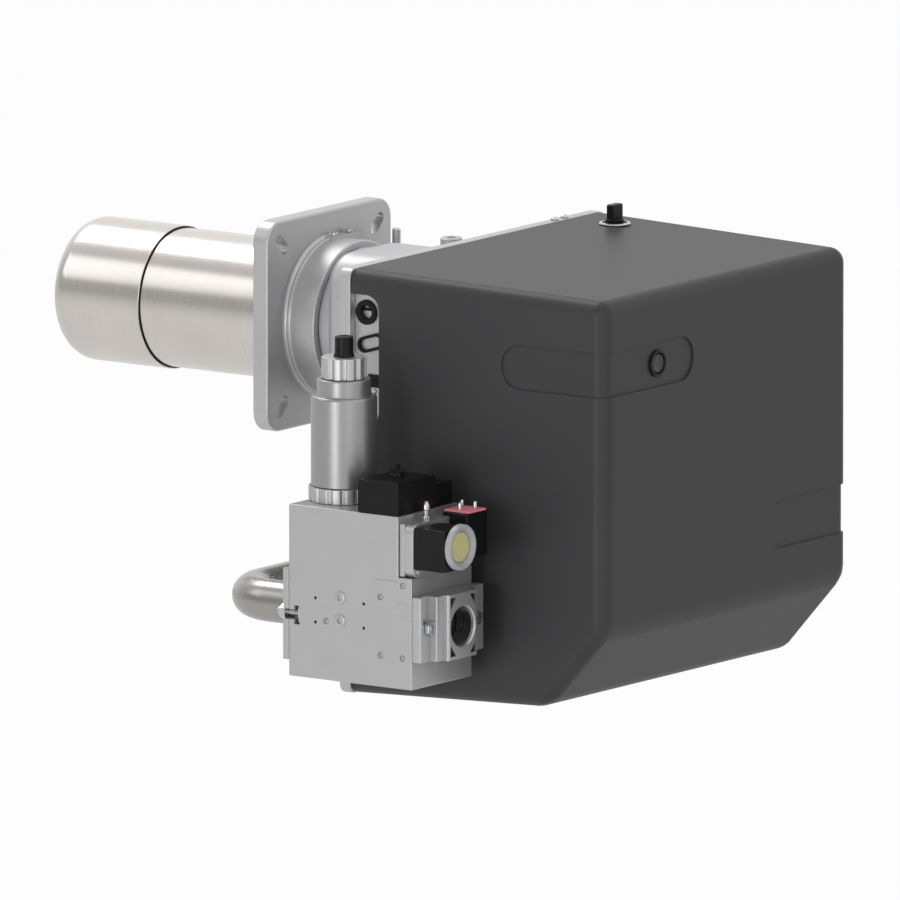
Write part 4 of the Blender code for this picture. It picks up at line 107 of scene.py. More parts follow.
def settle(name: str) -> Piece:
    """Names the piece in hand and moves its place into its mesh.

    Args:
        name: the piece's own name.

    Returns:
        The piece, with its object at the origin.
    """
    thing = bpy.context.active_object
    if thing.mode != "OBJECT":
        bpy.ops.object.mode_set(mode="OBJECT")
    bpy.ops.object.transform_apply(location=True, rotation=True, scale=True)
    thing.name = thing.data.name = name
    return thing


def block(name: str, low: Point, high: Point) -> Piece:
    """Adds a block between two corners.

    Args:
        name: the piece's name.
        low: the lowest corner.
        high: the corner across from it.

    Returns:
        The new piece.
    """
    release()
    start, end = Vector(low), Vector(high)
    bpy.ops.mesh.primitive_cube_add(size=1.0, location=(start + end) / 2, scale=end - start)
    return settle(name)


def case(name: str, low: Point, high: Point, radius: float, steps: int = 3) -> Piece:
    """Adds a block with soft edges."""
    return softened(block(name, low, high), radius, steps)


def peg(name: str, start: Point, end: Point, radius: float, sides: int = 48) -> Piece:
    """Adds a round bar between two points.

    Args:
        name: the piece's name.
        start: centre of the first end.
        end: centre of the other end.
        radius: its radius.
        sides: flats around it.

    Returns:
        The new piece.
    """
    release()
    span = Vector(end) - Vector(start)
    bpy.ops.mesh.primitive_cone_add(
        vertices=sides, radius1=radius, radius2=radius, depth=span.length,
        location=(Vector(start) + Vector(end)) / 2, rotation=span.to_track_quat("Z", "Y").to_euler())
    return settle(name)


def trace(name: str, points: Sequence[Vector]) -> Piece:
    """Draws a chain of edges by extruding one point on and on, and stays in edit mode.

    Args:
        name: the piece's name.
        points: where the chain goes. It is closed where the last point is the first one again.

    Returns:
        The chain, with all of it selected.
    """
    release()
    bpy.ops.mesh.primitive_plane_add(size=1, location=points[0])
    thing = bpy.context.active_object
    thing.name = thing.data.name = name
    bpy.ops.object.mode_set(mode="EDIT")
    bpy.ops.mesh.select_mode(type="VERT")
    bpy.ops.mesh.select_all(action="SELECT")
    bpy.ops.mesh.merge(type="CENTER")
    for start, end in zip(points, points[1:]):
        bpy.ops.mesh.extrude_region_move(TRANSFORM_OT_translate={"value": end - start})
    bpy.ops.mesh.select_all(action="SELECT")
    bpy.ops.mesh.remove_doubles(threshold=0.001)
    return thing


def turned(name: str, profile: Sequence[Flat], axis: Axis, centre: Point = (0, 0, 0),
           steps: int = 96) -> Piece:
    """Spins a profile into a round piece.

    Args:
        name: the piece's name.
        profile: pairs of radius and place along the axis. It is closed where it starts off the axis.
        axis: the axis that it is turned about.
        centre: a point on that axis, from which the places count.
        steps: flats around it.

    Returns:
        The closed round piece.
    """
    points = [Vector(centre) + axis.place(along, 0, radius) for radius, along in profile]
    trace(name, points + points[:1] if profile[0][0] else points)
    bpy.ops.mesh.spin(steps=steps, angle=2 * math.pi, center=centre, axis=axis.place(1, 0, 0))
    bpy.ops.mesh.select_all(action="SELECT")
    bpy.ops.mesh.remove_doubles(threshold=0.005)
    bpy.ops.mesh.normals_make_consistent(inside=False)
    return settle(name)


def slab(name: str, outline: Sequence[Flat], axis: Axis, low: float, high: float) -> Piece:
    """Fills an outline and extrudes it along an axis.

    Args:
        name: the piece's name.
        outline: pairs of places across and up.
        axis: the axis that it is extruded along.
        low: where it starts on that axis.
        high: where it ends.

    Returns:
        The closed slab.
    """
    points = [axis.place(low, across, up) for across, up in outline]
    trace(name, points + points[:1])
    bpy.ops.mesh.edge_face_add()
    bpy.ops.mesh.extrude_region_move(TRANSFORM_OT_translate={"value": axis.place(high - low, 0, 0)})
    bpy.ops.mesh.select_all(action="SELECT")
    bpy.ops.mesh.normals_make_consistent(inside=False)
    return settle(name)


def grip(thing: Piece, kind: str, test: Test) -> None:
    """Goes into edit mode with the vertices or edges selected that pass a test.

    Args:
        thing: the piece.
        kind: VERT or EDGE.
        test: says yes or no to a vertex and its normal, or to an edge's middle and direction.
    """
    pick(thing)
    bpy.ops.object.mode_set(mode="EDIT")
    bpy.ops.mesh.select_mode(type=kind)
    bpy.ops.mesh.select_all(action="DESELECT")
    bpy.ops.object.mode_set(mode="OBJECT")
    mesh = thing.data
    if kind == "EDGE":
        for edge in mesh.edges:
            first, last = (mesh.vertices[index].co for index in edge.vertices)
            edge.select = test((first + last) / 2, (last - first).normalized())
    else:
        for vertex in mesh.vertices:
            vertex.select = test(vertex.co, vertex.normal)
    bpy.ops.object.mode_set(mode="EDIT")


def rounded_edges(thing: Piece, test: Test, radius: float, steps: int = 6) -> Piece:
    """Bevels the edges that pass a test.

    Args:
        thing: the piece.
        test: says yes or no to an edge's middle and direction.
        radius: the bevel's width.
        steps: flats across the bevel.

    Returns:
        The piece.
    """
    grip(thing, "EDGE", test)
    bpy.ops.mesh.bevel(offset=radius, segments=steps, profile=0.5, affect="EDGES")
    release()
    return thing


def modified(thing: Piece, kind: str, **settings: Any) -> Piece:
    """Puts one modifier on a piece and applies it.

    Args:
        thing: the piece.
        kind: the modifier's type.
        settings: the modifier's own properties.

    Returns:
        The piece.
    """
    pick(thing)
    modifier = thing.modifiers.new(kind.title(), kind)
    for key, value in settings.items():
        setattr(modifier, key, value)
    bpy.ops.object.modifier_apply(modifier=modifier.name)
    return thing


def softened(thing: Piece, radius: float, steps: int = 2, angle: float = 30.0) -> Piece:
    """Rounds every edge that is sharper than an angle in degrees."""
    return modified(thing, "BEVEL", width=radius, segments=steps, limit_method="ANGLE",
                    angle_limit=math.radians(angle), use_clamp_overlap=True)


def joined(thing: Piece, *others: Piece) -> Piece:
    """Makes other pieces part of this one, each as its own shell.

    Args:
        thing: the piece that keeps its name.
        others: the pieces that go into it.

    Returns:
        The piece.
    """
    pick(thing, *others)
    bpy.ops.object.join()
    return thing


def combined(thing: Piece, others: Sequence[Piece], operation: str) -> Piece:
    """Runs a boolean of a piece with others, which are used up.

    Args:
        thing: the piece.
        others: the closed pieces that act on it.
        operation: UNION or DIFFERENCE.

    Returns:
        The piece.
    """
    for other in others:
        modified(thing, "BOOLEAN", operation=operation, solver="EXACT", object=other)
        bpy.data.objects.remove(other)
    return thing


def cut(thing: Piece, *tools: Piece) -> Piece:
    """Cuts tools out of a piece. The tools stay clear of each other."""
    return combined(thing, [joined(*tools)] if len(tools) > 1 else tools, "DIFFERENCE")


def welded(thing: Piece, *others: Piece) -> Piece:
    """Makes other pieces one body with this one."""
    return combined(thing, others, "UNION")


def repeated(thing: Piece, matrices: Sequence[Matrix]) -> list[Piece]:
    """Copies a piece, each copy with its own mesh.

    Args:
        thing: the first piece, whose name ends in 1.
        matrices: how each copy is moved or turned.

    Returns:
        The piece and its copies, numbered on.
    """
    pieces = [thing]
    for number, matrix in enumerate(matrices, 2):
        pick(thing)
        bpy.ops.object.duplicate(linked=False)
        bpy.context.active_object.matrix_world = matrix
        pieces.append(settle(f"{thing.name[:-1]}{number}"))
    return pieces


def spaced(thing: Piece, axis: Axis, places: Sequence[Flat]) -> list[Piece]:
    """Repeats a piece at places across and up from an axis. It is made at the first one."""
    first = axis.place(0, *places[0])
    return repeated(thing, [Matrix.Translation(axis.place(0, *place) - first) for place in places[1:]])


def ringed(thing: Piece, count: int, axis: Axis, centre: Point = (0, 0, 0)) -> list[Piece]:
    """Repeats a piece evenly round an axis through a centre.

    Args:
        thing: the first piece, whose name ends in 1.
        count: how many there are in all.
        axis: the axis.
        centre: a point on it.

    Returns:
        The piece and its copies.
    """
    home = Matrix.Translation(centre)
    return repeated(thing, [home @ Matrix.Rotation(2 * math.pi * i / count, 4, axis.name) @ home.inverted()
                            for i in range(1, count)])


# ---------------------------------------------------------------- outlines


def arc(centre: Flat, radius: float, start: float, end: float, steps: int) -> list[Flat]:
    """Points on an arc, from one angle in degrees to another, with both ends."""
    turns = [math.radians(start + (end - start) * i / steps) for i in range(steps + 1)]
    return [(centre[0] + radius * math.cos(turn), centre[1] + radius * math.sin(turn)) for turn in turns]


def rectangle(low: Flat, high: Flat, radius: float, steps: int = 6) -> list[Flat]:
    """Outline of a rectangle with round corners.

    Args:
        low: the lowest corner.
        high: the corner across from it.
        radius: radius of the corners.
        steps: flats in each corner.

    Returns:
        The outline.
    """
    places = [(high[0] - radius, high[1] - radius), (low[0] + radius, high[1] - radius),
              (low[0] + radius, low[1] + radius), (high[0] - radius, low[1] + radius)]
    return [point for i, place in enumerate(places)
            for point in arc(place, radius, 90 * i, 90 * i + 90, steps)]


def obround(centre: Flat, length: float, width: float, tilt: float = 0.0, steps: int = 8) -> list[Flat]:
    """Outline of a slot with round ends, tilted by an angle in degrees.

    Args:
        centre: its middle.
        length: its length over both ends.
        width: its width.
        tilt: the angle.
        steps: flats in each end.

    Returns:
        The outline.
    """
    half = (length - width) / 2
    points = arc((half, 0), width / 2, -90, 90, steps) + arc((-half, 0), width / 2, 90, 270, steps)
    c, s = math.cos(math.radians(tilt)), math.sin(math.radians(tilt))
    return [(centre[0] + a * c - b * s, centre[1] + a * s + b * c) for a, b in points]


def lobed(centre: Flat, radius: float, depth: float, lobes: int, share: float = 0.5) -> list[Flat]:
    """Outline of a round grip with soft lobes.

    Args:
        centre: its middle.
        radius: outer radius.
        depth: how deep the hollows are.
        lobes: how many lobes.
        share: how much of each pitch the lobe takes.

    Returns:
        The outline.
    """
    points = []
    steps = 12
    for i in range(lobes * steps):
        turn = 2 * math.pi * i / (lobes * steps)
        phase = (i % steps) / steps
        lift = min(1.0, max(0.0, (share / 2 + 0.12 - min(phase, 1 - phase)) / 0.16))
        lift = lift * lift * (3 - 2 * lift)
        reach = radius - depth * (1 - lift)
        points.append((centre[0] + reach * math.cos(turn), centre[1] + reach * math.sin(turn)))
    return points


# ---------------------------------------------------------------- finishes


def linear(code: str) -> tuple[float, float, float, float]:
    """Linear colour of an sRGB hex code."""
    parts = [int(code[i:i + 2], 16) / 255 for i in (1, 3, 5)]
    return (*[v / 12.92 if v <= 0.04045 else ((v + 0.055) / 1.055) ** 2.4 for v in parts], 1.0)


def add_node(tree: bpy.types.NodeTree, kind: str, inputs: dict[Any, Any] | None = None,
             **settings: Any) -> Any:
    """Adds a node with its settings, and with constants or links on its inputs.

    Args:
        tree: the node tree.
        kind: the node's type without its ShaderNode prefix.
        inputs: a constant or an output socket for each input's name or number.
        settings: the node's own properties.

    Returns:
        The node.
    """
    made = tree.nodes.new("ShaderNode" + kind)
    for key, value in settings.items():
        setattr(made, key, value)
    for key, value in (inputs or {}).items():
        if isinstance(value, bpy.types.NodeSocket):
            tree.links.new(value, made.inputs[key])
        else:
            made.inputs[key].default_value = value
    return made


def fresh_tree(owner: bpy.types.World | bpy.types.Material) -> bpy.types.NodeTree:
    """Turns nodes on and hands over the empty tree.

    Args:
        owner: the world or the material.

    Returns:
        Its node tree.
    """
    owner.use_nodes = True
    owner.node_tree.nodes.clear()
    return owner.node_tree


@dataclass(frozen=True)
class Finish:
    """A surface with a fine grain, wide soft patches and a little unevenness in its gloss."""

    name: str
    slot: str
    light: str
    dark: str
    roughness: float
    spread: float = 0.06
    metallic: float = 0.0
    ior: float = 1.5
    shine: float = 0.5
    grain_mm: float = 1.5
    bump_mm: float = 0.02
    patch_mm: float = 70.0
    run: Point = (1.0, 1.0, 1.0)

    def material(self) -> bpy.types.Material:
        """The finish's material, made the first time."""
        found = bpy.data.materials.get(self.name)
        return found or self.build()

    def pattern(self, tree: bpy.types.NodeTree, place: Any) -> Any:
        """Height of the fine grain, from 0 to 1.

        Args:
            tree: the material's tree.
            place: socket of the Object coordinates.

        Returns:
            The socket that carries the height.
        """
        scale = tuple(1 / length for length in self.run)
        drawn = add_node(tree, "Mapping", {"Vector": place, "Scale": scale})
        return add_node(tree, "TexNoise", {"Vector": drawn.outputs[0], "Scale": 1 / (self.grain_mm * MM),
                                           "Detail": 3.0, "Roughness": 0.6}).outputs["Fac"]

    def tint(self, tree: bpy.types.NodeTree, place: Any, height: Any) -> Any:
        """Colour between the dark and the light tone, by patches and a little grain.

        Args:
            tree: the material's tree.
            place: socket of the Object coordinates.
            height: socket of the grain's height.

        Returns:
            The socket that carries the colour.
        """
        patch = add_node(tree, "TexNoise", {"Vector": place, "Scale": 1 / (self.patch_mm * MM),
                                            "Detail": 2.0})
        both = add_node(tree, "Math", {0: patch.outputs["Fac"], 1: height}, operation="ADD")
        share = add_node(tree, "MapRange", {"Value": both.outputs[0], "From Min": 0.7, "From Max": 1.3})
        return add_node(tree, "Mix", {0: share.outputs[0], 6: linear(self.dark), 7: linear(self.light)},
                        data_type="RGBA").outputs[2]

    def build(self) -> bpy.types.Material:
        """Makes the material from its pattern, tint and gloss.

        Returns:
            The new material.
        """
        material = bpy.data.materials.new(self.name)
        tree = fresh_tree(material)
        place = add_node(tree, "TexCoord").outputs["Object"]
        height = self.pattern(tree, place)
        gloss = add_node(tree, "MapRange", {
            "Value": height, "From Min": 0.3, "From Max": 0.7,
            "To Min": max(0.02, self.roughness - self.spread),
            "To Max": min(1.0, self.roughness + self.spread)})
        bump = add_node(tree, "Bump", {"Height": height, "Distance": self.bump_mm * MM, "Strength": 1.0})
        inputs = {"Base Color": self.tint(tree, place, height), "Roughness": gloss.outputs[0],
                  "Normal": bump.outputs[0], "Metallic": self.metallic}
        if not self.metallic:
            inputs.update({"IOR": self.ior, "Specular IOR Level": self.shine})
        inputs.update(self.extras())
        shader = add_node(tree, "BsdfPrincipled", inputs)
        add_node(tree, "OutputMaterial", {"Surface": shader.outputs[0]})
        return material

    def extras(self) -> dict[str, Any]:
        """Further constants for the shader's sockets."""
        return {}


@dataclass(frozen=True)
class SpangledZinc(Finish):
    """Hot-dip galvanised sheet: flat crystals about a centimetre across, each with its own tone."""

    spangle_mm: float = 11.0

    def pattern(self, tree: bpy.types.NodeTree, place: Any) -> Any:
        """One tone for each crystal."""
        cells = add_node(tree, "TexVoronoi", {"Vector": place, "Scale": 1 / (self.spangle_mm * MM)})
        return add_node(tree, "SeparateColor", {0: cells.outputs["Color"]}).outputs[0]


@dataclass(frozen=True)
class ClearPane(Finish):
    """Clear polycarbonate: a thin pane that lets the dial show."""

    def extras(self) -> dict[str, Any]:
        """The pane lets most light through, also onto the dial."""
        return {"Alpha": 0.16}


# Stainless steel sheet rolled to a tube: a warm satin with faint lines round it.
STAINLESS = Finish("rolled_stainless_steel", "stainless_steel", "#D8D3CE", "#CFCAC5", 0.22, 0.02, 1.0,
                   grain_mm=1.6, bump_mm=0.0006, patch_mm=60, run=(1.0, 30.0, 30.0))
# Bent steel pipe, ground and bare.
PIPE_STEEL = Finish("ground_steel_pipe", "stainless_steel", "#A9A6A2", "#A4A19D", 0.27, 0.02, 1.0,
                    grain_mm=1.4, bump_mm=0.0006, patch_mm=60)
# Heat-tinted stainless steel inside the tube, dulled by the flame.
HEAT_TINTED = Finish("heat_tinted_stainless_steel", "stainless_steel", "#B5A793", "#7F7466", 0.42, 0.10, 1.0,
                     grain_mm=3.0, bump_mm=0.01, patch_mm=25)
# Sand-cast aluminium, shot-blasted: an even pale grey, part of it scattered by the fine oxide skin.
CAST_ALUMINIUM = Finish("blasted_cast_aluminium", "cast_aluminium", "#C6C6C7", "#BFBFC0", 0.42, 0.04, 0.75,
                        grain_mm=1.3, bump_mm=0.010, patch_mm=45)
# The same casting, duller, and a little darker to paint the shade that falls on the neck.
CASTING_WITH_PAINTED_SHADE = Finish("raw_sand_cast_aluminium", "cast_aluminium", "#C4C4C6", "#BCBCBE", 0.50, 0.04, 0.75,
                     grain_mm=1.6, bump_mm=0.015, patch_mm=35)
# Die-cast aluminium as on valve bodies: smoother and very even.
VALVE_ALUMINIUM = Finish("die_cast_aluminium", "valve_aluminium", "#C3C3C4", "#BEBEBF", 0.38, 0.04, 0.75,
                         grain_mm=1.1, bump_mm=0.006, patch_mm=30)
# Brushed aluminium sleeve: faint upright lines.
BRUSHED_SLEEVE = Finish("brushed_aluminium_sleeve", "valve_aluminium", "#A6A6A7", "#A1A1A2", 0.34, 0.04, 0.8,
                        grain_mm=0.9, bump_mm=0.002, patch_mm=40, run=(1.0, 1.0, 30.0))
# Bright zinc plate on turned and pressed steel.
ZINC_PLATE = Finish("bright_zinc_plate", "zinc_steel", "#CFD0D1", "#C2C4C6", 0.26, 0.03, 1.0,
                    grain_mm=2.0, bump_mm=0.0004, patch_mm=12)
# Hot-dip galvanised sheet for the fan wheel and the air box.
GALVANISED = SpangledZinc("hot_dip_galvanised_sheet", "galvanised_sheet", "#BCBFC1", "#A9ACAF", 0.40, 0.06,
                          0.85, grain_mm=2.0, bump_mm=0.001, patch_mm=60)
# Moulded ABS hood in dark grey. Its fine spark-eroded grain scatters the light evenly.
HOOD_PLASTIC = Finish("moulded_abs_dark_grey", "hood_grey", "#3C3C3E", "#39393B", 0.46, 0.03, 0.0, 1.53, 0.32,
                      grain_mm=1.2, bump_mm=0.010, patch_mm=160)
# Glass-filled nylon in black, semi-matt as moulded.
BLACK_NYLON = Finish("moulded_nylon_black", "black_plastic", "#161617", "#101011", 0.38, 0.05, 0.0, 1.53, 0.2,
                     grain_mm=1.2, bump_mm=0.010, patch_mm=30)
# Soft black rubber of rings and grommets; also the black that paints the shade in the inlet's corner pockets
# and in the nozzle's joint.
BLACK_RUBBER_AND_SHADE = Finish("moulded_rubber_black", "black_plastic", "#0E0E0E", "#0A0A0A", 0.55, 0.05, 0.0, 1.52,
                      0.25, grain_mm=1.0, bump_mm=0.010, patch_mm=20)
# Push button, in the hood's grey.
BUTTON_PLASTIC = Finish("moulded_abs_button_grey", "button_grey", "#3A3A3C", "#343436", 0.38, 0.05, 0.0,
                        1.53, 0.4, grain_mm=1.0, bump_mm=0.005, patch_mm=20)
# Blue-grey polycarbonate case of the control box.
CONTROL_PLASTIC = Finish("moulded_polycarbonate_grey", "control_plastic", "#5E6A78", "#56616E", 0.42, 0.05,
                         0.0, 1.58, 0.4, grain_mm=1.0, bump_mm=0.01, patch_mm=40)
# Sprayed enamel on the motor's cast frame.
MOTOR_ENAMEL = Finish("sprayed_enamel_dark_blue", "motor_paint", "#31465C", "#293B4E", 0.36, 0.06, 0.0, 1.5,
                      grain_mm=2.2, bump_mm=0.02, patch_mm=30)
# Glazed alumina of the electrodes' insulators.
GLAZED_CERAMIC = Finish("glazed_alumina", "ceramic", "#ECE7DC", "#DDD6C8", 0.22, 0.05, 0.0, 1.65,
                        grain_mm=3.0, bump_mm=0.004, patch_mm=15)
# Clear polycarbonate window.
CLEAR_PANE = ClearPane("clear_polycarbonate", "clear_cover", "#FBFCFC", "#F6F8F8", 0.03, 0.01, 0.0, 1.3, 0.5,
                       grain_mm=4.0, bump_mm=0.0005, patch_mm=20)
# Frosted rim round the window, where the clear plastic is left matt.
FROSTED_RIM = Finish("frosted_polycarbonate", "clear_cover", "#B9BABD", "#ABACB0", 0.40, 0.05, 0.0, 1.58, 0.5,
                     grain_mm=1.0, bump_mm=0.01, patch_mm=10)
# Tapped thread and the floor of the bore: a dull dark grey that paints the shade inside the bore.
BORE_SHADE_GREY = Finish("oiled_cut_thread", "valve_aluminium", "#8A8A8C", "#707072", 0.35, 0.05, 1.0,
                    grain_mm=1.0, bump_mm=0.003, patch_mm=10)
# Yellow-green dial of moulded acetal.
DIAL_ACETAL = Finish("moulded_acetal_yellow", "dial_yellow", "#D2CF50", "#CAC748", 0.45, 0.05, 0.0, 1.48, 0.3,
                     grain_mm=1.0, bump_mm=0.005, patch_mm=20)
# Red silicone sealing plate.
RED_SILICONE = Finish("moulded_silicone_red", "gasket_red", "#FF9AA3", "#FA929B", 0.52, 0.05, 0.0, 1.42, 0.4,
                      grain_mm=1.0, bump_mm=0.008, patch_mm=15)


def present(thing: Piece, finish: Finish, body: str, *stands_for: str, angle: float = 30.0) -> Piece:
    """Brings a piece to metres, smooths it, gives it its finish and mounts it on its body.

    Args:
        thing: the piece.
        finish: its finish.
        body: the body that it rides on.
        stands_for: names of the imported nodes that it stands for.
        angle: sharpest angle in degrees that is shaded smooth.

    Returns:
        The piece.
    """
    pick(thing)
    thing.scale = (MM, MM, MM)
    bpy.ops.object.transform_apply(location=True, rotation=True, scale=True)
    bpy.ops.object.shade_smooth_by_angle(angle=math.radians(angle))
    modified(thing, "WEIGHTED_NORMAL", keep_sharp=True)
    thing.data.materials.clear()
    thing.data.materials.append(finish.material())
    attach(thing, body)
    if stands_for:
        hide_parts(*stands_for)
    log.info("%s on %s, %d faces, %s", thing.name, body, len(thing.data.polygons), finish.name)
    return thing


def coat(finish: Finish, *nodes: str) -> None:
    """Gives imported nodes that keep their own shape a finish.

    Args:
        finish: the finish.
        nodes: names of the nodes.
    """
    for name in nodes:
        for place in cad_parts[name].material_slots:
            place.material = finish.material()
        log.info("%s keeps its shape, %s", name, finish.name)


# ---------------------------------------------------------------- boiler side


@dataclass
class BlastTube:
    """Stainless tube into the boiler, with the nozzle sleeved over its front end."""

    radius: float = 70.3
    wall: float = 2.0
    front: float = -195.0
    rear: float = 7.7
    edge: float = 0.3
    nozzle_radius: float = 72.5
    nozzle_wall: float = 1.9
    nozzle_front: float = -276.0
    nozzle_rear: float = -165.0
    nozzle_edge: float = 0.5
    lip_length: float = 18.0
    lip_drop: float = 12.5
    groove: float = 1.0
    shade_ring_depth: float = 0.9

    def tube(self) -> None:
        """The plain tube."""
        edge, front, outer, inner = self.edge, self.front, self.radius, self.radius - self.wall
        profile = [(outer, self.rear), (outer, front + edge), (outer - edge, front), (inner + edge, front),
                   (inner, front + edge), (inner, self.rear)]
        present(turned("steel_tube", profile, Axis.X, steps=128), STAINLESS, "boiler_side", "blast_tube")

    def lip(self, inset: float) -> list[Flat]:
        """Profile of the rolled lip, from the wall to the mouth.

        Args:
            inset: how far inside the outer face it lies.

        Returns:
            Pairs of radius and place.
        """
        start = self.nozzle_front + self.lip_length
        turns = [math.radians(90 * i / 14) for i in range(15)]
        return [(self.nozzle_radius - inset - (self.lip_drop - inset) * (1 - math.cos(turn)),
                 start - (self.lip_length - inset) * math.sin(turn)) for turn in turns]

    def nozzle(self) -> None:
        """The nozzle with its lip rolled inwards and a rounded rear rim."""
        radius, wall, edge = self.nozzle_radius, self.nozzle_wall, self.nozzle_edge
        rear = self.nozzle_rear - self.groove
        profile = [(radius, rear - edge), *self.lip(0), *reversed(self.lip(wall)), (radius - wall, rear),
                   (radius - edge, rear)]
        present(turned("steel_nozzle", profile, Axis.X, steps=128), STAINLESS, "boiler_side", "flame_nozzle",
                angle=40)

    def joint(self) -> None:
        """A black ring in the joint behind the nozzle: painted shade in the gap there."""
        high, low = self.nozzle_radius - self.shade_ring_depth, self.radius + GAP
        start, end = self.nozzle_rear - self.groove + GAP, self.nozzle_rear
        profile = [(low, start), (high, start), (high, end - GAP), (low, end)]
        present(turned("nozzle_joint_cord", profile, Axis.X), BLACK_RUBBER_AND_SHADE, "boiler_side")

    def build(self) -> None:
        """Makes the tube, the nozzle and the joint between them."""
        self.tube()
        self.nozzle()
        self.joint()


@dataclass
class MountingFlange:
    """Square cast flange with four radial slots, its collar and the fixed hinge ears."""

    half: float = 106.5
    thick: float = 19.0
    corner: float = 21.0
    spacing: float = 164.0
    slot_length: float = 25.0
    slot_width: float = 12.0
    collar_radius: float = 79.0
    collar_rear: float = 56.0
    seat: float = 70.6
    duct: float = 64.0
    hinge: Flat = (44.0, 80.0)
    ear_radius: float = 9.0
    ear_top: float = 57.0
    knuckle_half: float = 30.0

    def plate(self) -> Piece:
        """The plate with its round corners and slots.

        Returns:
            The plate.
        """
        outline = rectangle((-self.half, -self.half), (self.half, self.half), self.corner, 10)
        plate = slab("flange_casting", outline, Axis.X, 0, self.thick)
        rounded_edges(plate, lambda middle, way: abs(way.x) < 0.5, 2.2, 4)
        centre = (self.spacing / 2, self.spacing / 2)
        outline = obround(centre, self.slot_length, self.slot_width, 45)
        return cut(plate, *ringed(slab("flange_slot_1", outline, Axis.X, -1, self.thick + 1), 4, Axis.X))

    def collar(self) -> Piece:
        """The turned collar with its bead.

        Returns:
            The collar.
        """
        radius, rear, front = self.collar_radius, self.collar_rear, self.thick - 1
        foot, bead = self.thick + 4, self.collar_radius + 1.6
        profile = [(self.duct, front), (radius + 4, front), *arc((radius + 4.6, foot), 4, 262, 190, 6),
                   (bead, foot + 0.4), *arc((bead - 0.8, foot + 1.6), 0.9, -30, 80, 5),
                   (radius, foot + 4.6), (radius, rear - 2), *arc((radius - 2, rear - 2), 2, 0, 90, 5)[1:],
                   (self.duct + 1, rear), (self.duct, rear - 1)]
        return turned("flange_collar", profile, Axis.X, steps=112)

    def ears(self) -> Piece:
        """The two hinge ears with their web, open in the middle for the knuckle.

        Returns:
            The ears.
        """
        x, y = self.hinge
        top, radius, slant = self.ear_top, self.ear_radius, math.radians(75)
        profile = [(0, -top), (radius - 0.8, -top), (radius, 0.8 - top), (radius, top - 0.8),
                   (radius - 0.8, top), (0, top)]
        ears = turned("hinge_ears", profile, Axis.Z, (x, y, 0), 40)
        inner, lift = self.collar_radius * math.cos(slant), self.collar_radius * math.sin(slant)
        shoulder = y - 1.5 * radius
        outline = [(inner, lift), (inner, -lift), (shoulder, -top), (y, 0.5 - top), (y, top - 0.5),
                   (shoulder, top)]
        web = slab("hinge_web", outline, Axis.X, x - radius + 0.4, x + radius - 0.4)
        welded(ears, softened(web, 1.2))
        reach, half = radius + 1.8, self.knuckle_half
        for tool in (block("knuckle_room", (x - reach, y - reach, -half),
                           (self.collar_rear + 3, y + 2 * reach, half)),
                     peg("collar_room", (0, 0, 0), (90, 0, 0), self.collar_radius - 2, 96),
                     peg("pin_room", (x, y, -100), (x, y, 100), 4, 24)):
            cut(ears, tool)
        return ears

    def build(self) -> None:
        """Makes the whole casting, with the tube's bore through it."""
        plate, rear = self.plate(), self.thick + 1
        bore = [(0, -1), (self.seat, -1), (self.seat, 8), (self.duct, 8), (self.duct, rear), (0, rear)]
        cut(plate, turned("flange_bore", bore, Axis.X, steps=112))
        pad = block("screw_pad", (self.thick - 1, -10.5, 70), (31, 35.2, 81.2))
        rounded_edges(pad, lambda middle, way: abs(way.x) > 0.9 and middle.z > 80, 3, 4)
        cut(pad, peg("pad_room", (0, 0, 0), (50, 0, 0), 78.5, 112))
        casting = joined(softened(plate, 0.5, 2, 50), self.collar(), softened(pad, 0.6), self.ears())
        present(casting, CAST_ALUMINIUM, "boiler_side", "mounting_flange")


@dataclass
class HingeAndScrews:
    """Lift-out hinge pin and the two clamp screws on the collar."""

    hinge: Flat = (44.0, 80.0)
    screws: tuple[Flat, ...] = ((25.0, 0.0), (25.0, 24.7))

    def build(self) -> None:
        """Makes the pin with its shoulder, and the cap screws with their hexagon sockets."""
        profile = [(0, 80), (2.4, 79.9), (3.7, 79.4), (4.3, 78.4), (4.3, 60.8), (5, 60.3), (7.2, 60.3),
                   (7.8, 59.7), (7.8, 57.8), (7.3, 57.3), (3.5, 57.3), (3.5, -57), (2.4, -59.5), (0, -60.5)]
        pin = turned("lift_out_pin", profile, Axis.Z, (*self.hinge, 0), 40)
        present(pin, ZINC_PLATE, "boiler_side", "hinge_pin")
        x, y = self.screws[0]
        profile = [(0, 81.5), (3.6, 81.5), (3.6, 83.9), (3, 84.5), (0, 84.5)]
        head = turned("clamp_screw_1", profile, Axis.Z, (x, y, 0), 32)
        cut(head, peg("hexagon_socket", (x, y, 83), (x, y, 85), 1.9, 6))
        for number, screw in enumerate(spaced(head, Axis.Z, self.screws), 1):
            present(screw, ZINC_PLATE, "boiler_side", f"collar_screw_{number}")


@dataclass
class MixingHead:
    """Gas lance, distributor head, baffle disc and electrodes, inside the tube."""

    def build(self) -> None:
        """Gives the head's pieces their finishes."""
        coat(HEAT_TINTED, "baffle_disc", "gas_head")
        coat(STAINLESS, "gas_lance")
        coat(CAST_ALUMINIUM, "head_support")
        coat(GLAZED_CERAMIC, "ignition_electrode", "ionisation_probe")


# ---------------------------------------------------------------- swinging side


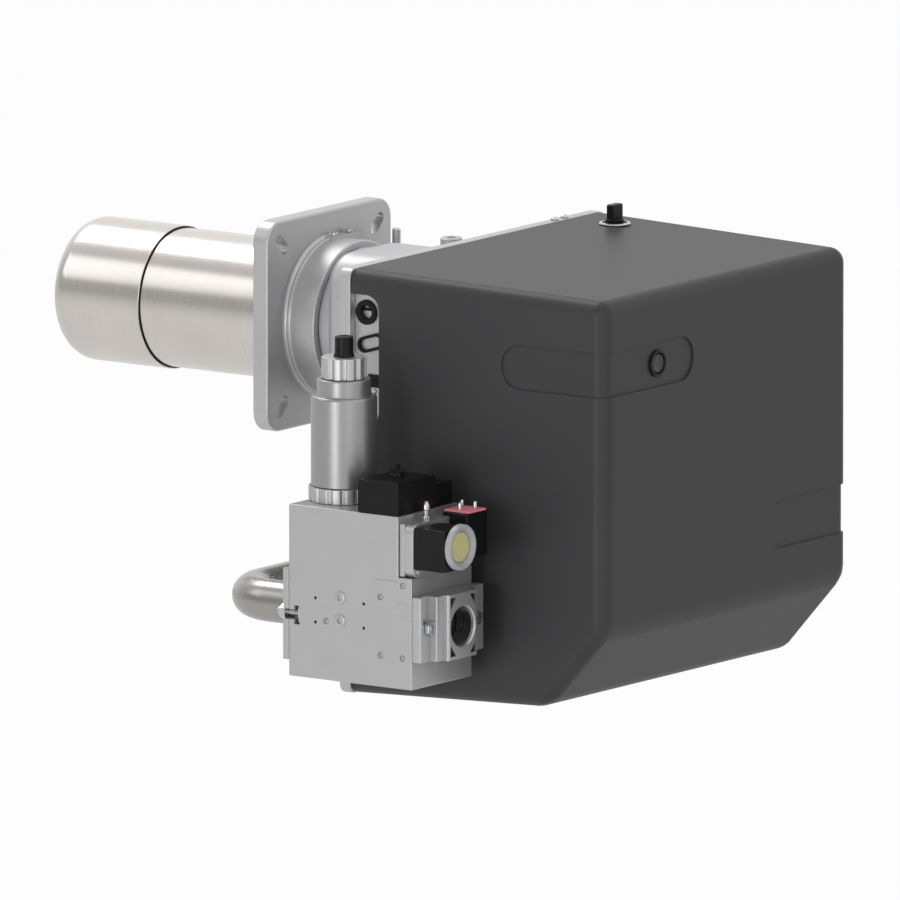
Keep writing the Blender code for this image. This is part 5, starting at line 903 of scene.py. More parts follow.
@dataclass
class NeckAndPlate:
    """Neck casting with its knuckle, and the thick plate that closes the hood."""

    radius: float = 79.5
    front: float = 79.0
    rear: float = 187.7
    pocket_side: float = 95.0
    pocket_corner: float = 34.0
    wall: float = 6.0
    spigot_radius: float = 72.0
    spigot_front: float = 56.3
    boss: Point = (172.7, -6.0, 94.5)
    hinge: Flat = (44.0, 80.0)
    knuckle_half: float = 29.7
    riser: Point = (106.5, -55.0, 23.2)
    plate_front: float = 188.0
    plate_rear: float = 201.0
    half: float = 220.0
    top: float = 94.0
    bottom: float = 335.0
    corner: float = 9.0
    duct_radius: float = 60.0
    screws: tuple[Flat, ...] = ((194.5, 142.0), (194.5, 159.0))

    def outline(self, inset: float) -> list[Flat]:
        """The neck's outline: half round on the far side, a box on the near side.

        Args:
            inset: how far it lies inside the outer face.

        Returns:
            The outline.
        """
        radius, corner = self.radius - inset, self.pocket_corner - inset
        side = inset - self.pocket_side + corner
        return [*arc((0, 0), radius, 90, -90, 28), *arc((side, corner - radius), corner, -90, -180, 8),
                *arc((side, radius - corner), corner, 180, 90, 8)]

    def neck(self) -> None:
        """The neck with its spigot, boss and hinge arm."""
        neck = slab("neck_rim", self.outline(0), Axis.X, self.front, self.rear)
        rounded_edges(neck, lambda middle, way: middle.x < self.front + 1 and abs(way.x) < 0.5, 14, 8)
        x, y, z = self.boss
        profile = [(0, 60), (11, 60), (11, z - 1.2), (9.8, z), (4.5, z), (4.5, z - 3), (0, z - 3)]
        boss = turned("neck_boss", profile, Axis.Z, (x, y, 0), 40)
        front, rear, radius = self.spigot_front, self.front + 20, self.spigot_radius
        profile = [(0, front), (radius - 1, front), (radius, front + 1), (radius, rear), (0, rear)]
        spigot = turned("neck_spigot", profile, Axis.X)
        (x, y), half = self.hinge, self.knuckle_half
        arm = case("hinge_arm", (x, y - 9, -half), (rear, y + 9, half), 1.5)
        profile = [(0, -half), (8.2, -half), (9, 0.8 - half), (9, half - 0.8), (8.2, half), (0, half)]
        welded(neck, boss, spigot, arm, turned("hinge_knuckle", profile, Axis.Z, (x, y, 0), 40))
        riser_x, riser_y, riser_radius = self.riser
        for tool in (slab("neck_room", self.outline(self.wall), Axis.X, self.front + 28, self.rear + 10),
                     peg("spigot_room", (0, 0, 0), (110, 0, 0), radius - self.wall, 96),
                     peg("pin_room", (x, y, -50), (x, y, 50), 3.9, 24),
                     peg("riser_room", (riser_x, riser_y, -100), (riser_x, riser_y, -60), riser_radius - 1)):
            cut(neck, tool)
        # The neck takes the darker copy of the casting: painted shade.
        present(neck, CASTING_WITH_PAINTED_SHADE, "burner", "neck_casting", angle=40)

    def plate(self) -> None:
        """The plate, with its air duct and soft edges."""
        outline = rectangle((-self.half, -self.bottom), (self.half, self.top), self.corner, 8)
        plate = slab("closing_plate", outline, Axis.X, self.plate_front, self.plate_rear)
        softened(plate, 1.2, 3, 50)
        cut(plate, peg("air_duct", (180, 0, 0), (210, 0, 0), self.duct_radius, 96))
        present(plate, CAST_ALUMINIUM, "burner", "front_plate", angle=40)

    def edge_screws(self) -> None:
        """Two round-head screws in the plate's top edge."""
        dome = [(4.2 * math.cos(turn), 95.1 + 2.2 * math.sin(turn))
                for turn in map(math.radians, (20, 40, 60, 78))]
        profile = [(0, 94.3), (4.2, 94.3), (4.2, 95.1), *dome, (0, 97.3)]
        head = turned("edge_screw_1", profile, Axis.Z, (*self.screws[0], 0), 32)
        for number, screw in enumerate(spaced(head, Axis.Z, self.screws), 1):
            present(screw, ZINC_PLATE, "burner", f"plate_screw_{number}")

    def build(self) -> None:
        """Makes the neck, the plate and the screws."""
        self.neck()
        self.plate()
        coat(CAST_ALUMINIUM, "gas_manifold")
        self.edge_screws()


@dataclass
class FanUnit:
    """Fan casing, wheel, motor, air box and damper, all under the hood."""

    axis: Flat = (342.0, -92.0)
    scroll_radius: float = 100.0
    growth: float = 42.0
    front: float = 201.6
    half: float = 39.0
    wall: float = 3.0
    eye: float = 66.0
    motor_radius: float = 60.0
    motor_start: float = 39.3
    motor_end: float = 143.3
    fins: int = 30
    cap_end: float = 169.6
    can: Flat = (51.3, 127.3)
    can_radius: float = 18.0
    damper: Flat = (-80.3, -205.0)

    def scroll(self, offset: float, outlet: float) -> list[Flat]:
        """Outline of the spiral and its outlet duct, moved out by an offset.

        Args:
            offset: how far it lies outside the air's way.
            outlet: where the duct ends.

        Returns:
            The outline.
        """
        x, z = self.axis
        points = []
        for i in range(73):
            turn = math.radians(150 + 300 * i / 72)
            radius = self.scroll_radius + self.growth * i / 72 + offset
            points.append((x + radius * math.cos(turn), z + radius * math.sin(turn)))
        top = z + self.scroll_radius + self.growth + offset
        low = z + self.scroll_radius * math.sin(math.radians(150)) - offset
        return points + [(outlet, top), (outlet, low)]

    def casing(self) -> None:
        """The spiral casing with its flange, and its cover with the bellmouth."""
        x, z = self.axis
        half, wall, eye = self.half, self.wall, self.eye
        tray = slab("spiral_casing", self.scroll(wall, self.front), Axis.Y, -half, half)
        flange = slab("casing_flange", rectangle((-51, -54), (51, 62), 6), Axis.X, self.front, self.front + 5)
        welded(tray, softened(flange, 0.6, 2, 50))
        cut(tray, slab("casing_room", self.scroll(0, self.front - 10), Axis.Y, -70, half - wall))
        cut(tray, peg("shaft_room", (x, 0, z), (x, 50, z), 14, 40))
        present(softened(tray, 0.5, 2, 40), CAST_ALUMINIUM, "burner", "fan_volute", angle=35)
        low = -half - GAP - wall
        cover = slab("casing_cover", self.scroll(wall, self.front + 5.3), Axis.Y, low, -half - GAP)
        cut(cover, peg("eye_room", (x, -60, z), (x, -30, z), eye + 2, 96))
        softened(cover, 0.5, 2, 40)
        lip = [(eye + 2.2, -39.3), (eye + 4, low - GAP), (eye + 4, -44), (eye + 3.2, -44.3),
               (eye + 1.6, -43.2), (eye + 0.5, -41), (eye, -37.5), (eye, -33.3), (eye + 1.2, -33.3),
               (eye + 2.2, -37.5)]
        present(joined(cover, turned("bellmouth", lip, Axis.Y, (x, 0, z))), CAST_ALUMINIUM, "burner",
                "volute_cover", angle=35)

    def motor(self) -> None:
        """The finned motor with its flange and rim."""
        place = (self.axis[0], 0, self.axis[1])
        start, end, radius = self.motor_start, self.motor_end, self.motor_radius
        body = slab("motor_frame", lobed(self.axis, radius, 6, self.fins, 0.35), Axis.Y, start + 7, end - 2)
        profile = [(13, start), (radius - 1.5, start), (radius, start + 1.5), (radius, start + 7.8),
                   (13, start + 7.8)]
        flange = turned("motor_flange", profile, Axis.Y, place, 80)
        profile = [(0, end - 4), (radius - 2.5, end - 4), (radius - 2.5, end), (0, end)]
        rim = turned("motor_rim", profile, Axis.Y, place, 80)
        softened(body, 0.5, 2, 50)
        present(joined(body, flange, rim), MOTOR_ENAMEL, "burner", "fan_motor", angle=35)

    def motor_cap(self) -> None:
        """The motor's domed cap with its slots, and the capacitor above the motor."""
        x, z = self.axis
        start, end, radius = self.motor_end + GAP, self.cap_end, self.motor_radius
        dome = [(radius - 22 * (1 - math.cos(turn)), end - 9 + 8 * math.sin(turn))
                for turn in map(math.radians, (18, 36, 54, 72, 90))]
        profile = [(0, start), (radius - 1.5, start), (radius, start + 1.5), (radius, end - 9), *dome,
                   (30, end - 0.6), (12, end), (0, end)]
        cap = turned("motor_cap", profile, Axis.Y, (x, 0, z), 80)
        slot = slab("cap_slot_1", obround((x + 44, z), 16, 4), Axis.Y, end - 6, end + 2)
        cut(cap, *ringed(slot, 12, Axis.Y, (x, 0, z)))
        present(cap, MOTOR_ENAMEL, "burner", "motor_end_cap", angle=35)
        (start, end), radius = self.can, self.can_radius
        top = z + self.motor_radius + radius + GAP
        profile = [(0, start), (radius - 1.5, start), (radius, start + 1.5), (radius, end - 8),
                   (radius - 0.8, end - 7.4), (radius - 0.8, end - 5), (radius, end - 4.4),
                   (radius, end - 1.5), (radius - 1.5, end), (0, end)]
        can = turned("run_capacitor", profile, Axis.Y, (x, 0, top), 56)
        present(can, BLACK_NYLON, "burner", "motor_capacitor")

    def air_side(self) -> None:
        """The intake box over the bellmouth, and the damper's servomotor."""
        x, z = self.axis
        y, level = self.damper
        low, high, wall = Vector((270, -118, -232)), Vector((414, -42.6, -18)), Vector((3, 3, 3))
        shell = case("intake_box", low, high, 2.5)
        cut(shell, block("intake_room", low + wall - Vector((0, 0, 20)), high - wall))
        cut(shell, peg("intake_mouth", (x, -80, z), (x, -30, z), 71.2, 80),
            peg("damper_room", (260, y, level), (430, y, level), 3.6, 24))
        present(shell, GALVANISED, "burner", "air_box", angle=35)
        servo = case("servo_case", (414.3, -108.3, -235), (468.3, -52.3, -175), 3, 4)
        groove = block("servo_joint", (449, -120, -250), (449.8, -40, -160))
        cut(groove, block("servo_core", (430, -107.5, -234.2), (460, -53.1, -175.8)))
        profile = [(0, 467), (8, 467), (8, 468), (7.2, 468.3), (0, 468.3)]
        dial = turned("servo_knob", profile, Axis.X, (0, y, level), 32)
        present(joined(cut(servo, groove), dial), BLACK_NYLON, "burner", "damper_servo")

    def build(self) -> None:
        """Makes the casing, the motor and the air box, and dresses the wheel."""
        self.casing()
        self.motor()
        self.motor_cap()
        self.air_side()
        coat(GALVANISED, "fan_impeller", "damper_flap")
        coat(ZINC_PLATE, "motor_shaft")


@dataclass
class Controls:
    """Control box, ignition transformer and air pressure switch."""

    button: Flat = (-114.0, 14.0)
    lid_screws: tuple[Flat, ...] = ((384.0, -178.0), (467.0, -72.0))
    air_switch: Point = (0.0, -150.0, -120.0)

    def build(self) -> None:
        """Makes the control box with its reset opening, the potted transformer and the round switch."""
        y, z = self.button
        base = case("control_base", (372.6, -190, -17.7), (478.6, -60, 20), 2.5)
        lid = case("control_lid", (373.2, -189.4, 20.6), (478, -60.6, 60.3), 3.5, 4)
        neck = block("control_neck", (374.6, -188, 17), (476.6, -62, 24))
        for piece in (base, neck):
            cut(piece, peg("button_way", (466, y, z), (490, y, z), 7.2, 32))
        profile = [(0, 59.7), (3, 59.7), (3, 60.1), (2, 60.3), (0, 60.3)]
        screw = turned("lid_screw_1", profile, Axis.Z, (*self.lid_screws[0], 0), 24)
        present(joined(base, lid, neck, *spaced(screw, Axis.Z, self.lid_screws)), CONTROL_PLASTIC, "burner",
                "control_box")
        body = case("transformer_case", (274.6, -110.3, -17.7), (354.6, -50.3, 34), 2.5)
        lid = case("transformer_lid", (276.2, -108.7, 33.5), (353, -51.9, 38.3), 1.5)
        present(joined(body, lid), BLACK_NYLON, "burner", "ignition_transformer")
        profile = [(0, 201.3), (30, 201.3), (32, 203), (32, 212), (30.5, 213), (30.5, 214.5), (32, 215.5),
                   (32, 224), (30, 226), (21, 229), (20, 231), (20, 242), (18.5, 244), (8, 245), (7.8, 245.3),
                   (0, 245.3)]
        switch = turned("air_switch_case", profile, Axis.X, self.air_switch, 64)
        present(switch, BLACK_NYLON, "burner", "air_pressure_switch")


@dataclass
class CablePanel:
    """Bracket behind the hood's cut-out, with the cable entries."""

    low: Point = (201.3, -211.3, -75.0)
    high: Point = (247.3, -208.3, 75.0)
    foot: float = -187.3
    gland: Flat = (216.0, 51.0)
    slot: Flat = (221.2, 20.4)
    proud: float = 3.0
    tilt: float = 17.0
    screw: Point = (224.5, 0.0, -28.2)
    plug: tuple[float, float, float, float] = (218.0, -24.0, 235.0, -11.0)

    def slanted(self, name: str, length: float, width: float, low: float, high: float) -> Piece:
        """A slab with round ends at the slanted entry."""
        return slab(name, obround(self.slot, length, width, self.tilt), Axis.Y, low, high)

    def bracket(self) -> None:
        """The bent panel with its two openings."""
        (x, z), face = self.gland, self.low[1]
        panel = case("entry_panel", self.low, self.high, 0.6, 2)
        welded(panel, case("panel_lip", (self.low[0], face + 1, self.low[2]),
                           (self.low[0] + 3, self.foot, self.high[2]), 0.6, 2))
        cut(panel, peg("gland_room", (x, -220, z), (x, -207.5, z), 10),
            self.slanted("grommet_room", 29.5, 14, -220, -207.5))
        present(panel, CAST_ALUMINIUM, "burner", "cable_panel")

    def entries(self) -> None:
        """The round gland and the slanted grommet, each with what fills it."""
        x, z = self.gland
        face, back, proud = self.low[1], self.low[1] - GAP / 3, self.low[1] - self.proud
        profile = [(9.8, face + 6), (9.8, back), (12.5, back), (12.5, proud + 0.6), (11.9, proud),
                   (7.8, proud), (6.8, proud + 0.8), (6.8, face + 6)]
        present(turned("gland_ring", profile, Axis.Y, (x, 0, z), 56), BLACK_RUBBER_AND_SHADE, "burner", "cable_gland")
        bore = peg("gland_cable", (x, face + 3, z), (x, face + 7, z), 6.7, 40)
        present(softened(bore, 0.4), CAST_ALUMINIUM, "burner")
        band = block("gland_band", (x - 7, face + 2, z + 1), (x + 7, face + 3, z + 4))
        present(band, BLACK_RUBBER_AND_SHADE, "burner")
        ring = self.slanted("grommet_ring", 32, 16.5, proud, back)
        welded(ring, self.slanted("grommet_sleeve", 29.1, 13.6, face - GAP / 2, face + 3.6))
        cut(ring, self.slanted("grommet_bore", 26.2, 10.4, -230, -200))
        present(softened(ring, 0.3, 2, 50), BLACK_RUBBER_AND_SHADE, "burner", "slot_grommet")
        present(self.slanted("grommet_blank", 26, 10.2, face + 1, face + 2.6), CAST_ALUMINIUM, "burner")

    def build(self) -> None:
        """Makes the panel, its entries, the screw and the blind plug."""
        self.bracket()
        self.entries()
        face, back = self.low[1], self.low[1] - GAP / 3
        profile = [(0, face - 1.6), (1.8, face - 1.5), (2.6, face - 0.9), (2.8, back), (0, back)]
        present(turned("panel_screw", profile, Axis.Y, self.screw, 24), ZINC_PLATE, "burner")
        x0, z0, x1, z1 = self.plug
        present(case("blind_plug", (x0, -212.8, z0), (x1, -211.6, z1), 0.3), BLACK_NYLON, "burner",
                "panel_plug")


# ---------------------------------------------------------------- hood


@dataclass
class Hood:
    """Moulded hood with two shallow recesses, a cut-out for the cables and intake slots below."""

    front: float = 201.6
    depth: float = 300.0
    front_half: float = 219.0
    rear_half: float = 206.0
    far_rear_half: float = 217.8
    top: float = 94.0
    rear_top: float = 86.0
    bottom: float = 335.0
    chamfer_start: float = 229.0
    chamfer_low: float = 327.8
    chamfer_high: float = 247.0
    edge: float = 15.0
    wall: float = 4.5
    band_depth: float = 2.2
    band_start: float = 177.5
    button: Flat = (-114.0, 14.0)
    latch: Flat = (254.0, 162.0)
    window: tuple[float, float, float, float] = (33.0, 62.0, 69.5, 15.0)
    slots: int = 8
    slot_pitch: float = 16.0

    def form(self, name: str, inset: float, reach: float) -> Piece:
        """The hood's solid form, drawn from its side profile and tapered to the rear.

        Args:
            name: the form's name.
            inset: how far it lies inside the outer face.
            reach: how far it runs on in front of the hood.

        Returns:
            The closed form with round edges.
        """
        fall = (self.top - self.rear_top) / self.depth
        rise = (self.bottom - self.chamfer_low) / self.chamfer_start
        outline = shrunk([(-reach, self.top + fall * reach), (self.depth, self.rear_top),
                          (self.depth, -self.chamfer_high), (self.chamfer_start, -self.chamfer_low),
                          (-reach, -self.bottom - rise * reach)], inset)
        outline[0], outline[-1] = (-reach, outline[0][1]), (-reach, outline[-1][1])
        half = self.front_half
        thing = slab(name, [(self.front + x, z) for x, z in outline], Axis.Y, -half, half)
        for place in sorted({round(x, 6) for x, _ in outline}):
            for side, rear_half in ((-1, self.rear_half), (1, self.far_rear_half)):
                width = half + (rear_half - half) * place / self.depth - inset
                grip(thing, "VERT",
                     lambda spot, way: abs(spot.x - self.front - place) < 0.01 and spot.y * side > 0)
                bpy.ops.transform.resize(value=(1, width / half, 1), center_override=(0, 0, 0))
        return rounded_edges(thing, lambda middle, way: middle.x > self.front - reach + 1,
                             max(self.edge - inset, 2), 8)

    def band(self, name: str, side: int, low: float, high: float, end: float) -> Piece:
        """Cutter of a shallow recess that wraps a rear corner.

        Args:
            name: the cutter's name.
            side: -1 for the near side and 1 for the far side.
            low: its lower edge.
            high: its upper edge.
            end: where it ends on the rear face, from the middle.

        Returns:
            The cutter.
        """
        radius = (high - low) / 2 * 0.98
        front, rear = self.front + self.band_start, self.front + self.depth
        flank = slab(name, rectangle((front, low), (rear + 3 * radius, high), radius, 12),
                     Axis.Y, *sorted((side * (self.front_half + 10), side * self.rear_half * 0.8)))
        start, stop = sorted((side * (self.front_half + 3 * radius), side * end))
        welded(flank, slab(f"{name}_rear", rectangle((start, low), (stop, high), radius, 12), Axis.X,
                           rear - 40, rear + 10))
        return cut(flank, self.form(f"{name}_core", self.band_depth, 0))

    def shell(self) -> None:
        """The moulded shell, open at the front."""
        shell = self.form("hood_moulding", 0, 0)
        front, rear = self.front, self.front + self.depth
        x, y = self.latch
        depth, low, high, corner = self.window
        cut(shell, self.band("button_recess", -1, -9.5, 35.5, 53))
        cut(shell, self.band("badge_recess", 1, -202, -153, 72))
        softened(shell, 0.5, 2, 35)
        cut(shell, self.form("hood_hollow", self.wall, 20))
        opening = rectangle((front - 50, -low), (front + depth, high), corner)
        cut(shell, slab("cable_window", opening, Axis.Y, -240, -190))
        cut(shell, peg("latch_hole", (x, y, 70), (x, y, 110), 4.8, 24))
        cut(shell, peg("button_hole", (rear - 15, *self.button), (rear + 10, *self.button), 11.7, 40))
        places = [(342, -80.3 + (i - (self.slots - 1) / 2) * self.slot_pitch) for i in range(self.slots)]
        slot = slab("intake_1", obround(places[0], 110, 8), Axis.Z, -345, -315)
        cut(shell, *spaced(slot, Axis.Z, places))
        present(shell, HOOD_PLASTIC, "hood", "hood_shell", angle=35)

    def button_ring(self) -> None:
        """The raised bezel and the lock-out reset button in it."""
        rear, place = self.front + self.depth - 2.5, (0, *self.button)
        ring = [(11.2, rear - 6), (11.3, rear + GAP), (13.8, rear + GAP),
                *arc((12.1, rear + 1.6), 1.7, 0, 180, 8), (9.9, rear - 6)]
        present(turned("reset_ring", ring, Axis.X, place, 64), BLACK_NYLON, "hood", "reset_bezel")
        face = rear + 2.4
        profile = [(0, 470.6), (5, 470.6), (5, 481.2), (9.5, 481.2), (9.5, face - 0.8), (8.8, face - 0.1),
                   (7.5, face), (6.6, face - 0.5), (0, face - 0.9)]
        button = turned("reset_push_button", profile, Axis.X, place, 64)
        present(button, BUTTON_PLASTIC, "reset", "reset_button")

    def build(self) -> None:
        """Makes the shell with its button."""
        self.shell()
        self.button_ring()


def shrunk(corners: Sequence[Flat], inset: float) -> list[Flat]:
    """Moves each side of a clockwise outline inwards.

    Args:
        corners: the outline's corners.
        inset: how far each side moves.

    Returns:
        The corners of the smaller outline.
    """
    lines = []
    for (x0, z0), (x1, z1) in zip(corners, list(corners[1:]) + [corners[0]]):
        way = Vector((x1 - x0, z1 - z0)).normalized()
        lines.append((Vector((x0, z0)) + Vector((way.y, -way.x)) * inset, way))
    points = []
    for (p, d), (q, e) in zip([lines[-1]] + lines[:-1], lines):
        share = ((q - p).x * e.y - (q - p).y * e.x) / (d.x * e.y - d.y * e.x)
        points.append(tuple(p + d * share))
    return points


@dataclass
class Latch:
    """Quarter-turn knob on its chrome washer, on the hood's roof."""

    centre: Point = (254.0, 162.0, 0.0)
    base: float = 95.4

    def build(self) -> None:
        """Makes the washer, the knob and the tongue that it grips."""
        x, y, _ = self.centre
        foot, low = self.base, self.base - 2.1
        profile = [(4.9, low), (16, low), (16, low + 0.7), (15.4, low + 1.5), (14.6, low + 1.8),
                   (6.2, low + 1.8), (4.9, low + 1.4)]
        disc = turned("latch_disc", profile, Axis.Z, self.centre, 64)
        present(disc, ZINC_PLATE, "hood", "latch_washer")
        profile = [(5, foot - 0.5), (13, foot - 0.5), (12.8, foot - 0.15), (5, foot - 0.1)]
        present(turned("latch_inlay", profile, Axis.Z, self.centre, 56), BLACK_RUBBER_AND_SHADE, "hood")
        stem = [(0, 71.6), (4, 71.6), (4, foot), (9, foot), (9.4, foot + 0.5), (9.4, foot + 2.6),
                (8.2, foot + 3.6), (0, foot + 3.8)]
        knob = turned("wing_knob", stem, Axis.Z, self.centre, 48)
        wing = block("knob_wing", (x - 4.2, y - 8.6, foot + 3), (x + 4.2, y + 8.6, 113.4))
        rounded_edges(wing, lambda middle, way: abs(way.x) > 0.9 and middle.z > 110, 2, 4)
        cross = case("knob_cross", (x - 2, y - 8, 70.4), (x + 2, y + 8, 74.4), 0.5, 2)
        present(joined(knob, softened(wing, 0.9, 3), cross), BLACK_NYLON, "latch", "latch_knob")
        coat(ZINC_PLATE, "latch_bracket")


# ---------------------------------------------------------------- gas train


@dataclass
class GasPipe:
    """Bent pipe from the valve's outlet, round two bends and up into the neck."""

    radius: float = 21.2
    bend: float = 48.0
    start_x: float = 203.0
    run_x: float = 106.5
    side: float = -286.0
    riser_side: float = -55.0
    level: float = -236.0
    top: float = -61.5

    def build(self) -> None:
        """Sweeps a circle along the pipe with extrudes and spins."""
        release()
        bpy.ops.mesh.primitive_circle_add(
            vertices=64, radius=self.radius, location=(self.start_x, self.side, self.level),
            rotation=(0, math.pi / 2, 0), fill_type="NGON")
        bpy.ops.object.mode_set(mode="EDIT")
        run = self.start_x - self.run_x - self.bend
        across = self.riser_side - self.side - 2 * self.bend
        rise = self.top - self.level - self.bend
        bpy.ops.mesh.extrude_region_move(TRANSFORM_OT_translate={"value": (-run, 0, 0)})
        bpy.ops.mesh.spin(steps=20, angle=math.pi / 2, axis=(0, 0, 1),
                          center=(self.run_x + self.bend, self.side + self.bend, self.level))
        bpy.ops.mesh.extrude_region_move(TRANSFORM_OT_translate={"value": (0, across, 0)})
        bpy.ops.mesh.spin(steps=20, angle=math.pi / 2, axis=(-1, 0, 0),
                          center=(self.run_x, self.riser_side - self.bend, self.level + self.bend))
        bpy.ops.mesh.extrude_region_move(TRANSFORM_OT_translate={"value": (0, 0, rise)})
        bpy.ops.mesh.select_all(action="SELECT")
        bpy.ops.mesh.normals_make_consistent(inside=False)
        present(settle("bent_gas_pipe"), PIPE_STEEL, "burner", "gas_pipe")


@dataclass
class ValveBlock:
    """Gas valve body with its outlet plate, T-bolt, inlet flange and bolts."""

    low: Point = (210.7, -338.0, -298.0)
    high: Point = (360.4, -235.0, -125.0)
    ledge: Flat = (343.8, -186.0)
    holes: tuple[Flat, ...] = ((243.2, -216.4), (243.2, -240.8), (302.1, -216.6), (302.1, -241.0))
    plugs: tuple[Flat, ...] = ((273.3, -213.4), (273.3, -236.7))
    sunk_screws: tuple[Flat, ...] = ((349.4, -193.6), (322.4, -207.5), (322.4, -266.3), (349.4, -266.7),
                                     (256.1, -238.5))
    disc: Flat = (349.4, -219.0)
    outlet_bolt: Flat = (-326.0, -236.0)
    bore: Flat = (-284.75, -238.25)
    bolts: tuple[Flat, ...] = ((-325.0, -236.0), (-247.0, -236.0))
    corners: tuple[Flat, Flat] = ((-306.1, -266.6), (-263.4, -207.4))
    nipple_place: Point = (353.2, -303.0, 0.0)

    def near_holes(self, name: str, places: Sequence[Flat], depth: float, radius: float,
                   sides: int) -> list[Piece]:
        """Round cutters that sink into the near side."""
        (x, z), near = places[0], self.low[1]
        return spaced(peg(f"{name}_1", (x, near - 1, z), (x, near + depth, z), radius, sides), Axis.Y, places)

    def near_details(self, name: str, places: Sequence[Flat], profile: Sequence[Flat],
                     sides: int) -> list[Piece]:
        """Turned pieces on the near side. Their profile runs from its face inwards."""
        (x, z), near = places[0], self.low[1]
        return spaced(turned(f"{name}_1", profile, Axis.Y, (x, near, z), sides), Axis.Y, places)

    def details(self, body: Piece) -> Piece:
        """Cuts the tapped holes, the screws' seats and the cover's joint, and adds the plugs.

        Args:
            body: the plain valve body.

        Returns:
            The body with its details.
        """
        near, right, top = self.low[1], self.high[0], self.ledge[1]
        cut(body, *self.near_holes("tapped_hole", self.holes, 12, 1.7, 24),
            *self.near_holes("screw_seat", self.sunk_screws, 1.4, 3.3, 32),
            block("joint_side", (right - 2.2, near + 1.6, -271.5), (right + 1, near + 2.5, top + 1)),
            block("joint_top", (316.5, near - 1, -190.3), (344, near + 0.7, -189.8)))
        head = [(0, 2), (2.7, 2), (2.7, 0.9), (2.3, 0.3), (1.4, 0.2), (1.3, 1.2), (0, 1.2)]
        plug = [(0, 1), (7.4, 1), (7.4, -0.3), (6.6, -0.4), (6.2, -1.5), (5.4, -1.9), (3.1, -1.9),
                (2.8, -1.5), (2.6, 0.6), (0, 0.6)]
        disc = [(0, 1), (8.2, 1), (8.2, -0.1), (7.6, -0.6), (5.6, -0.6), (5.2, -0.2), (0, -0.2)]
        return joined(body, *self.near_details("sunk_head", self.sunk_screws, head, 24),
                      *self.near_details("test_plug", self.plugs, plug, 40),
                      *self.near_details("cover_disc", (self.disc,), disc, 40))

    def body(self) -> None:
        """The stepped body with the T-slot."""
        (x0, near, z0), (x1, far, z1) = self.low, self.high
        x, z = self.ledge
        outline = [(x0, z0), (x1, z0), (x1, z), (x, z), (x, z1), (x0, z1)]
        body = slab("valve_casting", outline, Axis.Y, near, far)
        neck = block("slot_neck", (200, near - 3, -241), (218.2, near + 25, -231))
        welded(neck, block("slot_head", (217.2, near - 3, -245.5), (224.2, near + 25, -226.5)))
        cut(softened(body, 0.9, 3), neck)
        present(self.details(body), VALVE_ALUMINIUM, "burner", "valve_block")

    def outlet_plate(self) -> None:
        """The slotted outlet plate with its T-bolt, washer and nut."""
        plate = block("outlet_plate", (203.3, -338, -282), (210.4, -235, -190))
        cut(plate, block("plate_slot", (200, -340, -241), (220, -313, -231)),
            peg("gas_way", (190, -286, -236), (220, -286, -236), 18.8))
        present(softened(plate, 0.8), VALVE_ALUMINIUM, "burner", "outlet_flange")
        y, z = self.outlet_bolt
        profile = [(0, 190.5), (3.4, 190.5), (4, 191.1), (4, 223.6), (0, 223.6)]
        bolt = turned("clamp_bolt", profile, Axis.X, (0, y, z), 32)
        nut = softened(peg("clamp_nut", (195.5, y, z), (201.7, y, z), 8.9, 6), 0.7)
        washer = softened(peg("clamp_washer", (201.7, y, z), (203.1, y, z), 9, 40), 0.2)
        head = case("clamp_head", (219, y - 8, z - 8.6), (223.6, y + 8, z + 8.6), 0.6, 2)
        present(joined(bolt, nut, washer, head), ZINC_PLATE, "burner", "outlet_bolt")

    def corner_prisms(self, name: str, inset: float, less: float, low: float, high: float) -> list[Piece]:
        """Three-sided prisms in the corners of the inlet's face.

        Args:
            name: the stem of their names.
            inset: how far they keep off the pocket's two straight sides.
            less: how much shorter those sides end.
            low: where they start along the pipe's axis.
            high: where they end.

        Returns:
            The four prisms.
        """
        prisms = []
        for a, b in ((-1, -1), (-1, 1), (1, -1), (1, 1)):
            y, z = self.corners[a > 0][0], self.corners[b > 0][1]
            outline = [(y - a * inset, z - b * inset), (y - a * (9.6 - less), z - b * inset),
                       (y - a * inset, z - b * (12 - less))]
            prisms.append(slab(f"{name}_{a}_{b}", outline, Axis.X, low, high))
        return prisms

    def inlet(self) -> None:
        """The inlet flange with its ribs, corner pockets and threaded bore."""
        (y, z), near, low, high = self.bore, self.low[1], -270, -204
        root = case("inlet_root", (360.7, near, low), (371.3, -230, high), 1.2, 2)
        near_rib = case("inlet_near_rib", (370, -321.5, low), (379.5, -306, high), 1.2, 2)
        face = block("inlet_face", (370, -309.5, low), (385.3, -260, high))
        far_rib = case("inlet_far_rib", (370, -264, low), (379.5, -253, high), 1.2, 2)
        rounded_edges(face, lambda middle, way: abs(way.z) > 0.9, 2.2, 4)
        welded(root, near_rib, far_rib, face)
        cut(root, block("near_pocket", (368.5, -334, -232), (400, -323.5, -190)))
        profile = [(0, 363.3), (19.8, 363.3), (19.8, 383.8), (21.4, 385.4), (21.4, 388), (0, 388)]
        cut(root, turned("inlet_bore", profile, Axis.X, (0, y, z), 64))
        cut(root, *self.corner_prisms("corner_pocket", 0, 0, 374.5, 400))
        present(root, VALVE_ALUMINIUM, "burner", "inlet_flange", angle=35)
        thread, start, pitch = [(19.7, 363.6)], 364, 2.75  # drawn coarser than the real pitch, to be seen
        for _ in range(7):
            thread += [(19.4, start), (19.4, start + 0.25 * pitch), (17.8, start + 0.55 * pitch),
                       (17.8, start + 0.75 * pitch)]
            start += pitch
